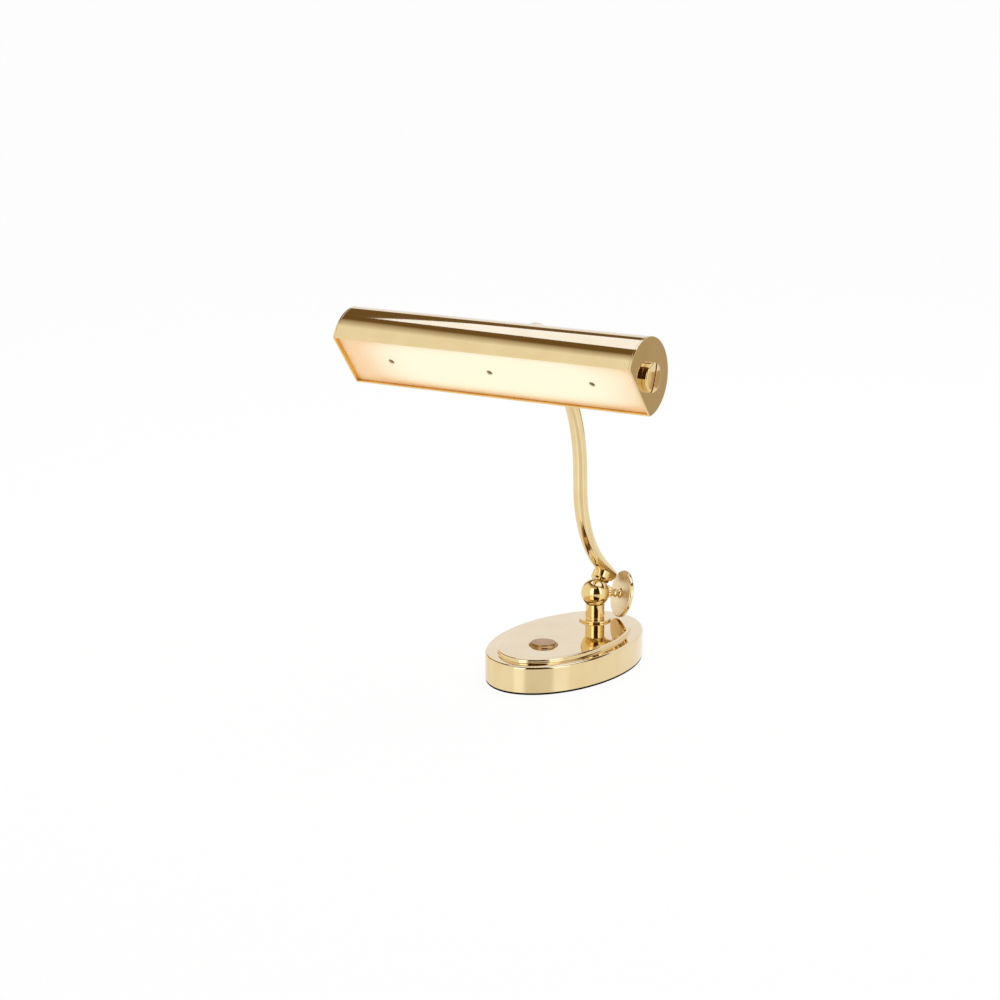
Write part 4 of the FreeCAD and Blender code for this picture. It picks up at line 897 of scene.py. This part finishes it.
def reflected_card(name, card, place, colours, strength=1.0):
    """Makes a card one that only reflections see, of one colour or of (position, colour) stops along its Y."""
    card.name = name
    card.data.transform(place)
    cloth = new_material(name + "_surface")
    tree = cloth.node_tree
    if isinstance(colours, str):
        cloth_colour = linear(colours)
    else:
        local = add_node(tree, "Mapping", {"vector_type": "TEXTURE"},
                         Vector=add_node(tree, "TexCoord").outputs["Object"],
                         Location=place @ Vector((0, -0.5, 0)), Rotation=place.to_euler(), Scale=place.to_scale())
        along = add_node(tree, "SeparateXYZ", Vector=local.outputs["Vector"]).outputs["Y"]
        ramp = add_node(tree, "ValToRGB", Fac=along)
        while len(ramp.color_ramp.elements) < len(colours):
            ramp.color_ramp.elements.new(0.5)
        for element, (position, colour) in zip(ramp.color_ramp.elements, colours):
            element.position = position
            element.color = linear(colour)
        cloth_colour = ramp.outputs["Color"]
    lit = add_node(tree, "Emission", Color=cloth_colour, Strength=strength)
    surface(tree, lit.outputs["Emission"])
    card.data.materials.append(cloth)
    card.visible_camera = False
    card.visible_diffuse = False
    card.visible_shadow = False
    card.visible_transmission = False


def square_card(name, centre, width, depth, turn, colours, strength=1.0):
    """A card of this width and depth, turned from lying level."""
    bpy.ops.mesh.primitive_plane_add(size=1)
    place = Matrix.Translation(centre) @ turn @ Matrix.Diagonal((width, depth, 1, 1))
    reflected_card(name, bpy.context.object, place, colours, strength)


square_card("ceiling", (-0.02, 1.4, 1.25), 3.6, 4.0, Matrix.Rotation(math.radians(-45), 4, "Z"),
            [(0.0, "#FFFFFF"), (0.08, "#B6AC9C"), (0.102, "#745C38"), (1.0, "#745C38")])
square_card("rear_wall", (0.0, 1.5, 0.65), 6.0, 1.3, Matrix.Rotation(math.radians(90), 4, "X"), "#EEF1FF", 1.12)
square_card("floor_beyond_table", (1.2, 1.2, 0.01), 1.6, 1.6, Matrix.Rotation(math.radians(-125), 4, "Z"),
            [(0.0, "#FFFFFF"), (0.08, "#BDAE98"), (0.39, "#BDAE98"), (0.45, "#EDE2D2"), (1.0, "#FFFFFF")])

camera_azimuth = math.radians(31.485)
camera_elevation = math.radians(13.496)


def standing_card(name, offset, width, foot, height, distance, colours, strength=1.0):
    """An upright card that faces the lamp, at this many degrees round from the camera."""
    azimuth = camera_azimuth + math.radians(offset)
    outward = Vector((math.sin(azimuth), -math.cos(azimuth), 0))
    turn = (-outward).to_track_quat("Z", "Y").to_matrix().to_4x4()
    square_card(name, outward * distance + Vector((0, 0, foot + height / 2)), width, height, turn, colours, strength)


standing_card("camera_side_flag", 11.0, 2.1, 0.0, 3.6, 2.2, "#3F260E")
standing_card("left_strip_light", -32.0, 0.95, 0.0, 2.6, 2.15, "#E6ECFF", 2.4)
standing_card("right_strip_light", 48.0, 0.75, 0.0, 2.6, 2.15, "#E6ECFF", 2.0)
standing_card("left_rear_wall", -148.0, 0.8, 0.45, 0.8, 2.2, "#CFA050")

# The soft box stands with two of its sides straight along the lamp, just under the ceiling
soft_box_place = Vector((0.0975, 0.38, 1.24))
bpy.ops.mesh.primitive_circle_add(vertices=8, radius=0.5, fill_type="NGON", rotation=(0, 0, math.radians(22.5)))
bpy.ops.object.transform_apply(location=False, rotation=True, scale=False)
reflected_card("octagonal_soft_box", bpy.context.object,
               Matrix.Translation(soft_box_place) @ Matrix.Diagonal((1.855, 1.3, 1, 1)), "#CCD8FF", 2.0)
bpy.ops.object.light_add(type="AREA", location=soft_box_place)
soft_light = bpy.context.object
soft_light.name = "soft_box_lamp"
soft_light.data.shape = "DISK"
soft_light.data.size = 1.2
soft_light.data.energy = 6.0
soft_light.visible_glossy = False

bpy.ops.object.camera_add(location=(0.9620, -1.6677, 0.5941))
camera = bpy.context.object
camera.rotation_mode = "QUATERNION"
back = Vector((math.sin(camera_azimuth) * math.cos(camera_elevation),
               -math.cos(camera_azimuth) * math.cos(camera_elevation), math.sin(camera_elevation)))
camera.rotation_quaternion = (-back).to_track_quat("-Z", "Y")
camera.data.sensor_width = 36.0
camera.data.lens = 92.815
camera.data.clip_start = 0.05
bpy.context.scene.camera = camera
bpy.context.scene.view_settings.view_transform = "Standard"
